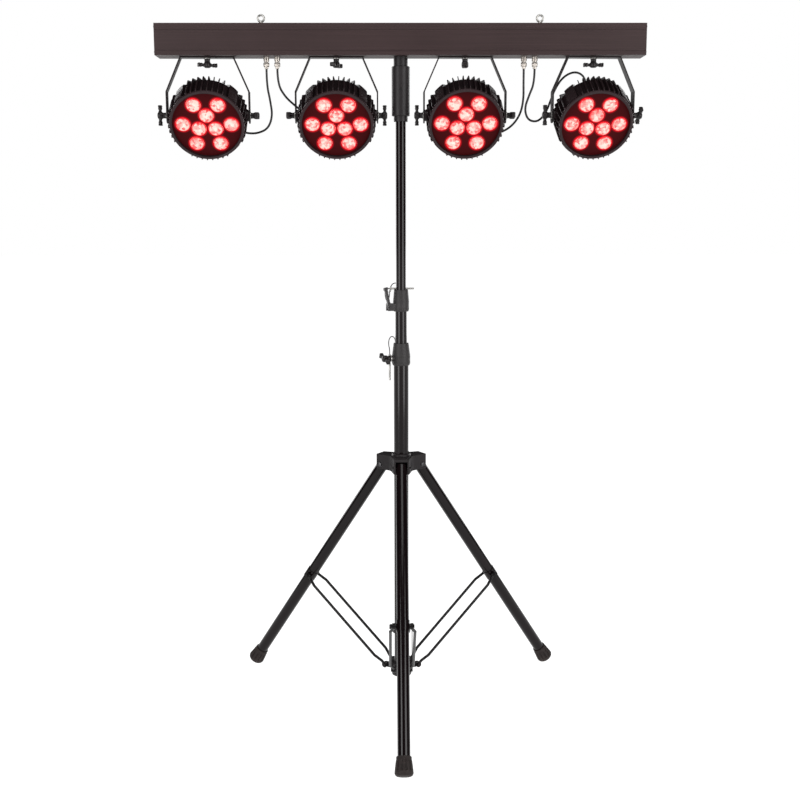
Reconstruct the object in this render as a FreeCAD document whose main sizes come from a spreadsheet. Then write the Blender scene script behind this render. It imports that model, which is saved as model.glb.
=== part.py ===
import FreeCAD, Part
import math
import os
import re

import Sketcher

Vector = FreeCAD.Vector
Rotation = FreeCAD.Rotation
Placement = FreeCAD.Placement

# A stage-lighting set: a light bar with four nine-lens par cans on yokes, on top of a
# telescopic tripod stand.  Millimetres.  The origin is on the mast's axis at floor level,
# +Z is up, +X is along the bar and -Y is the side that the cans shine towards.

DRIVING_DIMENSIONS = {
    # light bar: a hollow aluminium extrusion
    "bar_length": 1117.0,
    "bar_depth": 66.0,
    "bar_height": 70.5,
    "bar_bottom": 1546.4,
    "bar_wall": 2.5,
    "end_cap_thickness": 3.0,
    "groove_width": 2.4,
    "groove_sink": 1.0,
    "upper_groove_drop": 13.5,
    "lower_groove_rise": 8.5,
    "eye_bolt_reach": 319.0,
    "eye_ring_radius": 7.2,
    "eye_wire_radius": 2.3,
    "eye_rise": 14.5,
    # mast socket under the bar
    "socket_bottom": 1401.0,
    "socket_body_bottom": 1413.5,
    "socket_body_top": 1524.5,
    "socket_radius": 20.8,
    "socket_neck_radius": 16.2,
    "socket_flange_radius": 29.0,
    "socket_flange_thickness": 4.0,
    "socket_screw_height": 1472.0,
    "socket_screw_radius": 3.0,
    # lead plugs under the bar
    "inner_plug_reach": 283.5,
    "outer_plug_reach": 308.5,
    "plug_drop": 27.0,
    "plug_radius": 5.2,
    "plug_nut_radius": 6.8,
    # electronics and rear panel
    "panel_length": 176.0,
    "panel_height": 52.0,
    "panel_thickness": 1.6,
    "supply_length": 190.0,
    "supply_depth": 50.0,
    "supply_height": 34.0,
    "board_length": 130.0,
    "board_thickness": 1.6,
    # can positions
    "can_spacing": 296.0,
    "tilt_axis_height": 1415.0,
    # can housing, measured from the tilt axis along the beam
    "can_front": 50.0,
    "can_rim_radius": 85.0,
    "can_mouth_radius": 79.0,
    "can_core_radius": 81.0,
    "can_back": 46.0,
    "can_back_radius": 62.0,
    "can_taper_start": 16.0,
    "can_wall": 3.0,
    "rim_depth": 6.0,
    "fin_radius": 90.0,
    "fin_thickness": 2.2,
    "fin_step": 8.0,
    "fins_per_group": 8.0,
    "fin_groups": 4.0,
    "pivot_boss_radius": 13.0,
    "gland_radius": 7.0,
    "gland_length": 15.0,
    "gland_drop": 20.0,
    "stud_radius": 4.0,
    "running_gap": 0.06,
    # front plate, lenses and LED board
    "lens_plate_front": 43.0,
    "lens_plate_thickness": 2.5,
    "lens_radius": 16.3,
    "lens_hole_gap": 0.4,
    "lens_front": 46.0,
    "lens_foot_radius": 7.0,
    "led_board_front": 23.0,
    "led_board_radius": 74.0,
    "inner_lens_circle": 21.9,
    "outer_lens_circle": 54.9,
    # yokes, bent from flat strip
    "yoke_width": 25.0,
    "yoke_strip": 3.0,
    "yoke_half_span": 95.8,
    "yoke_shoulder": 53.0,
    "yoke_top_half": 61.5,
    "yoke_tail": 18.0,
    "yoke_hang_gap": 0.3,
    # T-handle clamp knobs
    "knob_stem_radius": 6.8,
    "knob_washer_radius": 9.0,
    "knob_washer": 1.5,
    "knob_stand_off": 9.5,
    "knob_handle_length": 46.0,
    "knob_handle_depth": 11.0,
    "knob_handle_width": 13.0,
    "knob_end_width": 9.0,
    "tilt_stud_length": 15.5,
    "pan_stud_length": 12.0,
    # leads
    "lead_radius": 2.5,
    "lead_last_run": 32.0,
    # mast
    "base_tube_radius": 17.5,
    "middle_tube_radius": 14.0,
    "upper_tube_radius": 12.0,
    "tube_wall": 1.6,
    "base_tube_bottom": 57.0,
    "base_tube_top": 872.0,
    "middle_tube_bottom": 192.0,
    "middle_tube_top": 1000.0,
    "upper_tube_bottom": 712.0,
    "upper_tube_top": 1536.0,
    # mast collars
    "lower_collar_bottom": 832.5,
    "lower_collar_top": 885.5,
    "lower_collar_radius": 21.6,
    "lower_collar_neck": 17.9,
    "upper_collar_bottom": 961.5,
    "upper_collar_top": 1012.5,
    "upper_collar_radius": 18.8,
    "upper_collar_neck": 16.7,
    "collar_lug_reach": 28.0,
    "collar_lug_radius": 7.0,
    "lug_cheek_width": 17.0,
    "lug_height": 17.0,
    "lug_reach": 35.0,
    "lever_length": 47.0,
    "lever_width": 8.0,
    "lever_thickness": 6.0,
    "lever_pivot_height": 972.0,
    "lever_pivot_reach": 29.5,
    "lever_pin_radius": 2.5,
    "lever_lean": 12.0,
    "lower_knob_height": 850.0,
    "pin_radius": 2.2,
    "upper_pin_height": 1015.3,
    "upper_pin_left": 26.5,
    "upper_pin_right": 30.5,
    "pin_head_radius": 4.0,
    "lower_pin_length": 62.0,
    "lower_pin_reach": 28.5,
    "lower_pin_top": 857.0,
    # tripod hub
    "hub_top": 613.2,
    "hub_roof": 6.0,
    "hub_height": 36.0,
    "hub_arm_reach": 59.0,
    "hub_arm_width": 36.0,
    "hub_waist": 30.0,
    "hub_waist_radius": 24.0,
    "hub_sleeve_radius": 21.5,
    "hub_sleeve_bottom": 569.0,
    "hub_slot_width": 28.8,
    "hub_slot_start": 29.0,
    "hub_knob_height": 599.0,
    "hub_boss_radius": 8.5,
    "hub_boss_reach": 34.0,
    "hub_bolt_head_radius": 6.4,
    # legs, feet and struts
    "leg_pivot_reach": 48.9,
    "leg_pivot_height": 588.0,
    "leg_radius": 14.0,
    "leg_wall": 1.4,
    "leg_head": 9.0,
    "leg_angle": 34.7335,
    "foot_end_radius": 21.5,
    "foot_mouth_radius": 16.6,
    "foot_length": 42.0,
    "foot_floor": 16.0,
    "foot_corner_radius": 8.0,
    "clip_distance": 380.0,
    "clip_length": 26.0,
    "clip_thickness": 1.5,
    "strut_pivot_reach": 36.0,
    "strut_pivot_height": 80.0,
    "strut_rod_radius": 3.5,
    "strut_end_offset": 20.3,
    "strut_mid_offset": 28.0,
    "strut_bend_start": 13.0,
    "strut_bend_end": 34.0,
    "strut_eye_radius": 7.0,
    "strut_eye_thickness": 7.2,
    "strut_bolt_radius": 3.0,
    # lower strut bracket and stop ring
    "bracket_radius": 24.0,
    "bracket_bottom": 57.0,
    "bracket_height": 30.0,
    "bracket_ear_start": 15.0,
    "bracket_ear_thickness": 3.2,
    "stop_ring_bottom": 166.0,
    "stop_ring_height": 14.0,
    "stop_ring_radius": 22.0,
    "stop_ear_reach": 33.0,
    "stop_wire_reach": 30.5,
    "stop_wire_radius": 1.0,
}

# Aim of each can at rest, in degrees: pan about the vertical, then tilt below the level.
CAN_PAN = [2.0, 1.0, 1.0, 3.4]
CAN_TILT = [31.5, 32.0, 29.0, 31.7]
# How far each T handle is turned at rest, in degrees.
PAN_KNOB_TURN = [30.0, 68.0, 88.0, 4.0]
TILT_KNOB_TURN = [(0.0, 90.0), (90.0, 0.0), (0.0, 90.0), (0.0, 50.0)]
LEG_DIRECTION = {"front": -90.0, "rear_left": 150.0, "rear_right": 30.0}

document = FreeCAD.newDocument("par_can_light")
sheet = document.addObject("Spreadsheet::Sheet", "Dims")
for row, (alias, number) in enumerate(DRIVING_DIMENSIONS.items(), start=1):
    sheet.set(f"A{row}", alias)
    sheet.set(f"B{row}", str(number))
    sheet.setAlias(f"B{row}", alias)
document.recompute()

sub_parts = []


# ---------------------------------------------------------------- formulas and placements

def formula(text):
    """Turns 'bar_length / 2' into an expression on the spreadsheet's cells."""

    def cell(match):
        word = match.group(0)
        return f"Dims.{word}" if word in DRIVING_DIMENSIONS else word

    return re.sub(r"[A-Za-z_]\w*", cell, str(text))


def value(text):
    """The number that a formula on the spreadsheet's cells comes to."""
    return float(sheet.evalExpression(formula(text)))


def point(*formulas):
    return Vector(*(value(text) for text in formulas))


def bind(item, **formulas):
    """Binds properties of a document object to formulas."""
    for name, text in formulas.items():
        item.setExpression(name, formula(text))
    return item


def at(item, x=0, y=0, z=0, rotation=None):
    """Places an object: a position bound to formulas, and a rotation."""
    item.Placement = Placement(Vector(), rotation or Rotation())
    for axis, text in (("x", x), ("y", y), ("z", z)):
        if text != 0:
            item.setExpression(f"Placement.Base.{axis}", formula(text))
    return item


def turned(axis, degrees):
    return Rotation(axis, degrees)


X_AXIS, Y_AXIS, Z_AXIS = Vector(1, 0, 0), Vector(0, 1, 0), Vector(0, 0, 1)
ALONG_X = turned(Y_AXIS, 90)
ALONG_Y = turned(X_AXIS, -90)


def keep(item, label):
    """Names a finished sub-part and lists it for export."""
    item.Label = label
    sub_parts.append(item)
    return item


# ---------------------------------------------------------------- primitives

def cylinder(radius, length, x=0, y=0, z=0, rotation=None):
    item = document.addObject("Part::Cylinder", "Cylinder")
    bind(item, Radius=radius, Height=length)
    return at(item, x, y, z, rotation)


def cone(start_radius, end_radius, length, x=0, y=0, z=0, rotation=None):
    item = document.addObject("Part::Cone", "Cone")
    bind(item, Radius1=start_radius, Radius2=end_radius, Height=length)
    return at(item, x, y, z, rotation)


def box(length, width, height, x=0, y=0, z=0, rotation=None):
    """A box centred on its position in X and Y and standing on it in Z."""
    item = document.addObject("Part::Box", "Box")
    bind(item, Length=length, Width=width, Height=height)
    if rotation is None:
        return at(item, f"({x}) - ({length}) / 2", f"({y}) - ({width}) / 2", z)
    corner = rotation.multVec(point(f"-({length}) / 2", f"-({width}) / 2", 0))
    item.Placement = Placement(point(x, y, z) + corner, rotation)
    return item


def fused(*items):
    result = document.addObject("Part::MultiFuse", "Fuse")
    result.Shapes = list(items)
    return result


def cut(base, *tools):
    result = document.addObject("Part::Cut", "Cut")
    result.Base = base
    result.Tool = tools[0] if len(tools) == 1 else fused(*tools)
    return result


def group(*items):
    """Separate solids that share one node."""
    result = document.addObject("Part::Compound", "Group")
    result.Links = list(items)
    return result


def tube(outer_radius, inner_radius, bottom, length):
    overrun = 1
    bore = cylinder(inner_radius, f"({length}) + 2 * {overrun}", z=f"({bottom}) - {overrun}")
    return cut(cylinder(outer_radius, length, z=bottom), bore)


def radial_box(direction, length, width, height, start, lateral, bottom):
    """A box along a direction about the mast, from a radius outwards."""
    item = document.addObject("Part::Box", "RadialBox")
    bind(item, Length=length, Width=width, Height=height)
    rotation = turned(Z_AXIS, direction)
    corner = rotation.multVec(point(start, f"({lateral}) - ({width}) / 2", bottom))
    item.Placement = Placement(corner, rotation)
    return item


def tangent_cylinder(direction, radius, length, reach, lateral, height):
    """A cylinder across a direction about the mast, centred on a lateral offset."""
    item = document.addObject("Part::Cylinder", "Pin")
    bind(item, Radius=radius, Height=length)
    rotation = turned(Z_AXIS, direction)
    start = rotation.multVec(point(reach, f"({lateral}) - ({length}) / 2", height))
    item.Placement = Placement(start, rotation.multiply(ALONG_Y))
    return item


def radial_cylinder(direction, radius, length, start, height):
    """A cylinder along a direction about the mast, from a radius outwards."""
    item = document.addObject("Part::Cylinder", "RadialPin")
    bind(item, Radius=radius, Height=length)
    rotation = turned(Z_AXIS, direction)
    item.Placement = Placement(
        rotation.multVec(point(start, 0, height)), rotation.multiply(ALONG_X)
    )
    return item


# ---------------------------------------------------------------- sketches and features

def new_body(name):
    return document.addObject("PartDesign::Body", name)


def origin_feature(body, role):
    return [item for item in body.Origin.OriginFeatures if item.Role == role][0]


def new_sketch(body, plane, name, lift=0, turn=None):
    """A sketch on one of the body's own origin planes, lifted along that plane's normal."""
    sketch = body.newObject("Sketcher::SketchObject", name)
    sketch.AttachmentSupport = [(origin_feature(body, plane), "")]
    sketch.MapMode = "FlatFace"
    sketch.AttachmentOffset = Placement(Vector(), turn or Rotation())
    if lift != 0:
        sketch.setExpression("AttachmentOffset.Base.z", formula(lift))
    return sketch


def add_outline(sketch, corners):
    """A closed outline of straight sides whose corners are bound to formulas."""
    count = len(corners)
    first = sketch.GeometryCount
    spots = [point(across, along, 0) for across, along in corners]
    sides = [Part.LineSegment(spots[i], spots[(i + 1) % count]) for i in range(count)]
    sketch.addGeometry(sides)
    joined = [
        Sketcher.Constraint("Coincident", first + i, 2, first + (i + 1) % count, 1)
        for i in range(count)
    ]
    sketch.addConstraint(joined)
    for i, (across, along) in enumerate(corners):
        for kind, text, number in (("DistanceX", across, spots[i].x), ("DistanceY", along, spots[i].y)):
            index = sketch.addConstraint(Sketcher.Constraint(kind, -1, 1, first + i, 1, number))
            sketch.setExpression(f"Constraints[{index}]", formula(text))


def add_circle(sketch, radius, across=0, along=0):
    """A circle whose radius and centre are bound to formulas."""
    centre = point(across, along, 0)
    geometry = sketch.addGeometry(Part.Circle(centre, Z_AXIS, value(radius)))
    index = sketch.addConstraint(Sketcher.Constraint("Radius", geometry, value(radius)))
    sketch.setExpression(f"Constraints[{index}]", formula(radius))
    for kind, text, number in (("DistanceX", across, centre.x), ("DistanceY", along, centre.y)):
        index = sketch.addConstraint(Sketcher.Constraint(kind, -1, 1, geometry, 3, number))
        sketch.setExpression(f"Constraints[{index}]", formula(text))


def revolve(body, corners, plane="XZ_Plane"):
    """A full revolution, about the sketch's vertical axis."""
    sketch = new_sketch(body, plane, "Profile")
    add_outline(sketch, corners)
    feature = body.newObject("PartDesign::Revolution", "Revolution")
    feature.Profile = sketch
    feature.ReferenceAxis = (sketch, ["V_Axis"])
    feature.Angle = 360
    return feature


def turned_body(name, corners):
    """A body turned about Z: each corner is a radius and a height."""
    body = new_body(name)
    revolve(body, corners)
    return body


def pad(body, sketch, length, midplane=True, reversed_side=False):
    feature = body.newObject("PartDesign::Pad", "Pad")
    feature.Profile = sketch
    bind(feature, Length=length)
    feature.Midplane = midplane
    feature.Reversed = reversed_side
    return feature


def pocket(body, sketch, length=None, reversed_side=False, midplane=False):
    """A pocket, through everything where it has no length; it has to take material away."""
    document.recompute()
    before = body.Shape.Volume
    feature = body.newObject("PartDesign::Pocket", "Pocket")
    feature.Profile = sketch
    feature.Reversed = reversed_side
    feature.Midplane = midplane
    if length is None:
        feature.Type = "ThroughAll"
    else:
        bind(feature, Length=length)
    document.recompute()
    if body.Shape.Volume > before - 1e-3:
        raise RuntimeError(f"the pocket in {body.Name} takes nothing away")
    return feature


def polar(body, original, angle, occurrences):
    feature = body.newObject("PartDesign::PolarPattern", "PolarPattern")
    feature.Originals = [original]
    feature.Axis = (origin_feature(body, "Z_Axis"), [""])
    feature.Angle = angle
    bind(feature, Occurrences=occurrences)
    body.Tip = feature
    return feature


def edges_where(body, test):
    """The names of the body's edges that pass a test."""
    document.recompute()
    edges = enumerate(body.Shape.Edges, start=1)
    return [f"Edge{number}" for number, edge in edges if test(edge)]


def between(test):
    """An edge test made from a test on the edge's two ends."""
    def passes(edge):
        ends = [vertex.Point for vertex in edge.Vertexes]
        return len(ends) == 2 and test(ends[0], ends[1])

    return passes


def fillet(body, radius, test):
    rounded = (body.Tip, edges_where(body, test))
    feature = body.newObject("PartDesign::Fillet", "Fillet")
    feature.Base = rounded
    bind(feature, Radius=radius)
    body.Tip = feature
    return feature


def near(first, second, gap=0.01):
    return abs(first - second) < gap


# ---------------------------------------------------------------- cords

def cord_wire(points):
    """Straight runs joined by arcs that are as large as the two runs beside them allow."""
    edges = []
    radii = []
    start = points[0]
    for before, corner, after in zip(points, points[1:], points[2:]):
        arriving = (corner - before).normalize()
        leaving = (after - corner).normalize()
        turn = math.acos(max(-1.0, min(1.0, arriving.dot(leaving))))
        setback = 0.45 * min((corner - before).Length, (after - corner).Length)
        radius = setback / math.tan(turn / 2)
        arc_start = corner - arriving * setback
        arc_end = corner + leaving * setback
        inward = (leaving - arriving).normalize()
        middle = corner + inward * (radius / math.cos(turn / 2) - radius)
        edges.append(Part.LineSegment(start, arc_start).toShape())
        edges.append(Part.Arc(arc_start, middle, arc_end).toShape())
        radii.append(radius)
        start = arc_end
    edges.append(Part.LineSegment(start, points[-1]).toShape())
    return Part.Wire(edges), radii


def cord(label, route, radius):
    """A cord's tube along its route; the points are the corners of its runs."""
    points = [Vector(*spot) for spot in route]
    wire, radii = cord_wire(points)
    heading = (points[1] - points[0]).normalize()
    ring = Part.Wire([Part.Circle(points[0], heading, radius).toShape()])
    shape = wire.makePipeShell([ring], True, False)
    section = math.pi * radius**2
    print(
        f"{label}: length {wire.Length:.1f}, radii "
        + " ".join(f"{bend:.0f}" for bend in radii)
        + f", volume over section times length {shape.Volume / (section * wire.Length):.4f}"
    )
    item = document.addObject("Part::Feature", "Cord")
    item.Shape = shape
    return keep(item, label)


# ---------------------------------------------------------------- clamp knobs

def t_knob(stud_length):
    """A T-handle knob: its clamped face is at Z = 0, its stud points down, its handle runs along X."""
    top = "knob_stand_off + knob_handle_depth"
    body = new_body("TKnob")
    revolve(
        body,
        [
            ("0", f"-({stud_length})"),
            ("stud_radius - 0.6", f"-({stud_length})"),
            ("stud_radius", f"0.6 - ({stud_length})"),
            ("stud_radius", "0"),
            ("knob_washer_radius", "0"),
            ("knob_washer_radius", "knob_washer"),
            ("knob_stem_radius + 0.6", "knob_washer"),
            ("knob_stem_radius", "knob_stand_off"),
            ("knob_stem_radius + 1.2", f"{top} - 1.5"),
            ("knob_stem_radius", f"{top} + 0.6"),
            ("0", f"{top} + 0.6"),
        ],
    )
    sketch = new_sketch(body, "XZ_Plane", "Handle")
    half = "knob_handle_length / 2"
    middle = "knob_stand_off + knob_handle_depth / 2"
    add_outline(
        sketch,
        [
            (f"-{half}", f"{middle} - knob_end_width / 2 + 1.5"),
            (f"-{half} + 1.5", f"{middle} - knob_end_width / 2"),
            ("-knob_stem_radius", "knob_stand_off"),
            ("knob_stem_radius", "knob_stand_off"),
            (f"{half} - 1.5", f"{middle} - knob_end_width / 2"),
            (half, f"{middle} - knob_end_width / 2 + 1.5"),
            (half, f"{middle} + knob_end_width / 2 - 1.5"),
            (f"{half} - 1.5", f"{middle} + knob_end_width / 2"),
            ("knob_stem_radius", top),
            ("-knob_stem_radius", top),
            (f"-{half} + 1.5", f"{middle} + knob_end_width / 2"),
            (f"-{half}", f"{middle} + knob_end_width / 2 - 1.5"),
        ],
    )
    pad(body, sketch, "knob_handle_width")
    return body


# ---------------------------------------------------------------- the light bar

BAR_TOP = "(bar_bottom + bar_height)"
BAR_FLOOR = "(bar_bottom + bar_wall)"
BAR_MIDDLE = "(bar_bottom + bar_height / 2)"
PAN_AXES = ["-can_spacing * 1.5", "-can_spacing / 2", "can_spacing / 2", "can_spacing * 1.5"]
PLUG_PLACES = ["-outer_plug_reach", "-inner_plug_reach", "inner_plug_reach", "outer_plug_reach"]


def bar_side(side):
    """The outline of one long face with its two shallow grooves, from the bottom up."""
    face = f"{side} * bar_depth / 2"
    sunk = f"{side} * (bar_depth / 2 - groove_sink)"
    low = "bar_bottom + lower_groove_rise"
    high = f"{BAR_TOP} - upper_groove_drop"
    return [
        (face, "bar_bottom"),
        (face, low),
        (sunk, low),
        (sunk, f"{low} + groove_width"),
        (face, f"{low} + groove_width"),
        (face, f"{high} - groove_width"),
        (sunk, f"{high} - groove_width"),
        (sunk, high),
        (face, high),
        (face, BAR_TOP),
    ]


def rectangle(width, height, across=0, along=0):
    return [
        (f"({across}) {x_sign} ({width}) / 2", f"({along}) {y_sign} ({height}) / 2")
        for x_sign, y_sign in (("-", "-"), ("+", "-"), ("+", "+"), ("-", "+"))
    ]


def make_bar_housing():
    body = new_body("BarHousing")
    profile = new_sketch(body, "YZ_Plane", "Profile")
    add_outline(profile, bar_side(-1) + bar_side(1)[::-1])
    hollow = rectangle(
        "bar_depth - 2 * bar_wall", "bar_height - 2 * bar_wall", 0, BAR_MIDDLE
    )
    add_outline(profile, hollow)
    pad(body, profile, "bar_length - 2 * end_cap_thickness")
    floor_holes = new_sketch(body, "XY_Plane", "FloorHoles", f"{BAR_FLOOR} + 1")
    add_circle(floor_holes, "socket_neck_radius + running_gap")
    for reach in PAN_AXES:
        add_circle(floor_holes, "stud_radius + running_gap", reach)
    for reach in PLUG_PLACES:
        add_circle(floor_holes, "plug_radius + running_gap", reach)
    pocket(body, floor_holes)
    roof_holes = new_sketch(body, "XY_Plane", "RoofHoles", f"{BAR_TOP} - bar_wall - 1")
    for side in (-1, 1):
        add_circle(roof_holes, "eye_wire_radius + 0.6", f"{side} * eye_bolt_reach")
    pocket(body, roof_holes, reversed_side=True)
    window = new_sketch(body, "XZ_Plane", "PanelWindow")
    add_outline(window, rectangle("panel_length - 10", "panel_height - 10", 0, BAR_MIDDLE))
    pocket(body, window)
    keep(body, "bar_housing")


def make_end_caps():
    caps = []
    for side in (-1, 1):
        centre = f"{side} * (bar_length / 2 - end_cap_thickness / 2)"
        plate = box("end_cap_thickness", "bar_depth", "bar_height", centre, 0, "bar_bottom")
        caps.append(plate)
    keep(group(*caps), "end_caps")


def make_eye_bolts():
    bolts = []
    for side in (-1, 1):
        reach = f"{side} * eye_bolt_reach"
        ring = document.addObject("Part::Torus", "Eye")
        bind(ring, Radius1="eye_ring_radius", Radius2="eye_wire_radius")
        at(ring, reach, 0, f"{BAR_TOP} + eye_rise", turned(X_AXIS, 90))
        shank = cylinder(
            "eye_wire_radius + 0.5",
            "eye_rise - eye_ring_radius + bar_wall + 8",
            reach,
            0,
            f"{BAR_TOP} - bar_wall - 8",
        )
        collar = cylinder("eye_wire_radius + 2.2", 2, reach, 0, BAR_TOP)
        nut = cylinder("eye_wire_radius + 3.2", 5, reach, 0, f"{BAR_TOP} - bar_wall - 5")
        bolts.append(fused(ring, shank, collar, nut))
    keep(group(*bolts), "eye_bolts")


def make_mast_socket():
    bore = "(upper_tube_radius + running_gap)"
    body = turned_body(
        "MastSocket",
        [
            (bore, "socket_bottom"),
            ("socket_neck_radius", "socket_bottom"),
            ("socket_neck_radius", "socket_body_bottom"),
            ("socket_radius - 1", "socket_body_bottom"),
            ("socket_radius", "socket_body_bottom + 1"),
            ("socket_radius", "socket_body_top - 1"),
            ("socket_radius - 1", "socket_body_top"),
            ("socket_neck_radius", "socket_body_top"),
            ("socket_neck_radius", BAR_FLOOR),
            ("socket_flange_radius", BAR_FLOOR),
            ("socket_flange_radius", f"{BAR_FLOOR} + socket_flange_thickness"),
            ("0", f"{BAR_FLOOR} + socket_flange_thickness"),
            ("0", "upper_tube_top"),
            (bore, "upper_tube_top"),
        ],
    )
    screw_hole = cylinder(
        "socket_screw_radius",
        "socket_radius",
        0,
        "-socket_radius - 1",
        "socket_screw_height",
        turned(X_AXIS, -90),
    )
    keep(cut(body, screw_hole), "mast_socket")


def make_lead_plugs():
    plugs = []
    for reach in PLUG_PLACES:
        tip = "bar_bottom - plug_drop"
        plug = turned_body(
            "LeadPlug",
            [
                ("0", tip),
                ("plug_radius - 1.2", tip),
                ("plug_radius - 0.4", f"{tip} + 5"),
                ("plug_nut_radius - 0.6", f"{tip} + 5"),
                ("plug_nut_radius - 0.6", f"{tip} + 14"),
                ("plug_radius - 0.4", f"{tip} + 14"),
                ("plug_radius - 0.4", f"{tip} + 17"),
                ("plug_nut_radius", f"{tip} + 17"),
                ("plug_nut_radius", "bar_bottom"),
                ("plug_radius", "bar_bottom"),
                ("plug_radius", f"{BAR_FLOOR} + 1"),
                ("0", f"{BAR_FLOOR} + 1"),
            ],
        )
        plugs.append(at(plug, reach))
    keep(group(*plugs), "lead_plugs")


def make_power_supply():
    centre = "-can_spacing / 2 - supply_length / 2 - 8"
    feet = [
        cylinder(3, "7.2", f"{centre} {x_sign} 80", f"{y_sign} 18", BAR_FLOOR)
        for x_sign in ("-", "+")
        for y_sign in ("-", "+")
    ]
    case = box("supply_length", "supply_depth", "supply_height", centre, 0, f"{BAR_FLOOR} + 7")
    keep(fused(case, *feet), "power_supply")


def make_controller_board():
    bottom = f"{BAR_FLOOR} + 5"
    board = box("board_length", "board_thickness", "54", 0, "4", bottom)
    chips = [
        box(size, "2.4", size, x, "2.2", f"{bottom} + {rise}")
        for size, x, rise in ((14, -20, 20), (10, 18, 30), (8, 40, 12))
    ]
    capacitor = cylinder(6, 12, -46, "3.6", f"{bottom} + 38", turned(X_AXIS, 90))
    keep(fused(board, capacitor, *chips), "controller_board")


def make_control_panel():
    """The rear plate with a display window, a mains inlet and two data sockets."""
    face = "bar_depth / 2"
    plate = box("panel_length", "panel_thickness", "panel_height", 0,
                f"{face} + panel_thickness / 2", f"{BAR_MIDDLE} - panel_height / 2")
    inlet_x, display_x = -58, -6
    socket_places = (34, 68)
    inlet_hole = box(30.4, 10, 22.4, inlet_x, face, f"{BAR_MIDDLE} - 11.2")
    display_hole = box(36.4, 10, 16.4, display_x, face, f"{BAR_MIDDLE} - 8.2")
    socket_holes = [
        cylinder(11.2, 10, x, f"{face} - 5", BAR_MIDDLE, ALONG_Y) for x in socket_places
    ]
    panel = cut(plate, inlet_hole, display_hole, *socket_holes)
    inlet_body = box(30, 20, 22, inlet_x, f"{face} + panel_thickness - 10", f"{BAR_MIDDLE} - 11")
    inlet_well = box(24, 15, 16, inlet_x, f"{face} + panel_thickness - 6.5", f"{BAR_MIDDLE} - 8")
    blades = [
        box(4, 13, 1.6, f"{inlet_x + offset}", f"{face} - 7", f"{BAR_MIDDLE} + {rise}")
        for offset, rise in ((-7, -3), (0, 2), (7, -3))
    ]
    inlet = fused(cut(inlet_body, inlet_well), *blades)
    display = box(36, 6, 16, display_x, f"{face} - 2", f"{BAR_MIDDLE} - 8")
    sockets = []
    for x in socket_places:
        shell = cylinder(11, 20, x, f"{face} + panel_thickness - 20", BAR_MIDDLE, ALONG_Y)
        well = cylinder(8.6, 14, x, f"{face} + panel_thickness - 13", BAR_MIDDLE, ALONG_Y)
        pins = [
            cylinder(1.2, 11, f"{x + 5 * math.cos(math.radians(turn)):.3f}",
                     f"{face} + panel_thickness - 14",
                     f"{BAR_MIDDLE} + {5 * math.sin(math.radians(turn)):.3f}", ALONG_Y)
            for turn in (30, 150, 270)
        ]
        sockets.append(fused(cut(shell, well), *pins))
    keep(group(panel, inlet, display, *sockets), "control_panel")


# ---------------------------------------------------------------- the par cans

def can_rotation(number):
    """From a can's own frame, beam along +Z and top along +Y, to the model's."""
    tilt = turned(X_AXIS, 90 + CAN_TILT[number])
    return turned(Z_AXIS, CAN_PAN[number]).multiply(tilt)


def place_can(item, number):
    return at(item, PAN_AXES[number], 0, "tilt_axis_height", can_rotation(number))


def place_yoke(item, number, rotation=None):
    pan = turned(Z_AXIS, CAN_PAN[number]).multiply(rotation or Rotation())
    return at(item, PAN_AXES[number], 0, "tilt_axis_height", pan)


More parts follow.
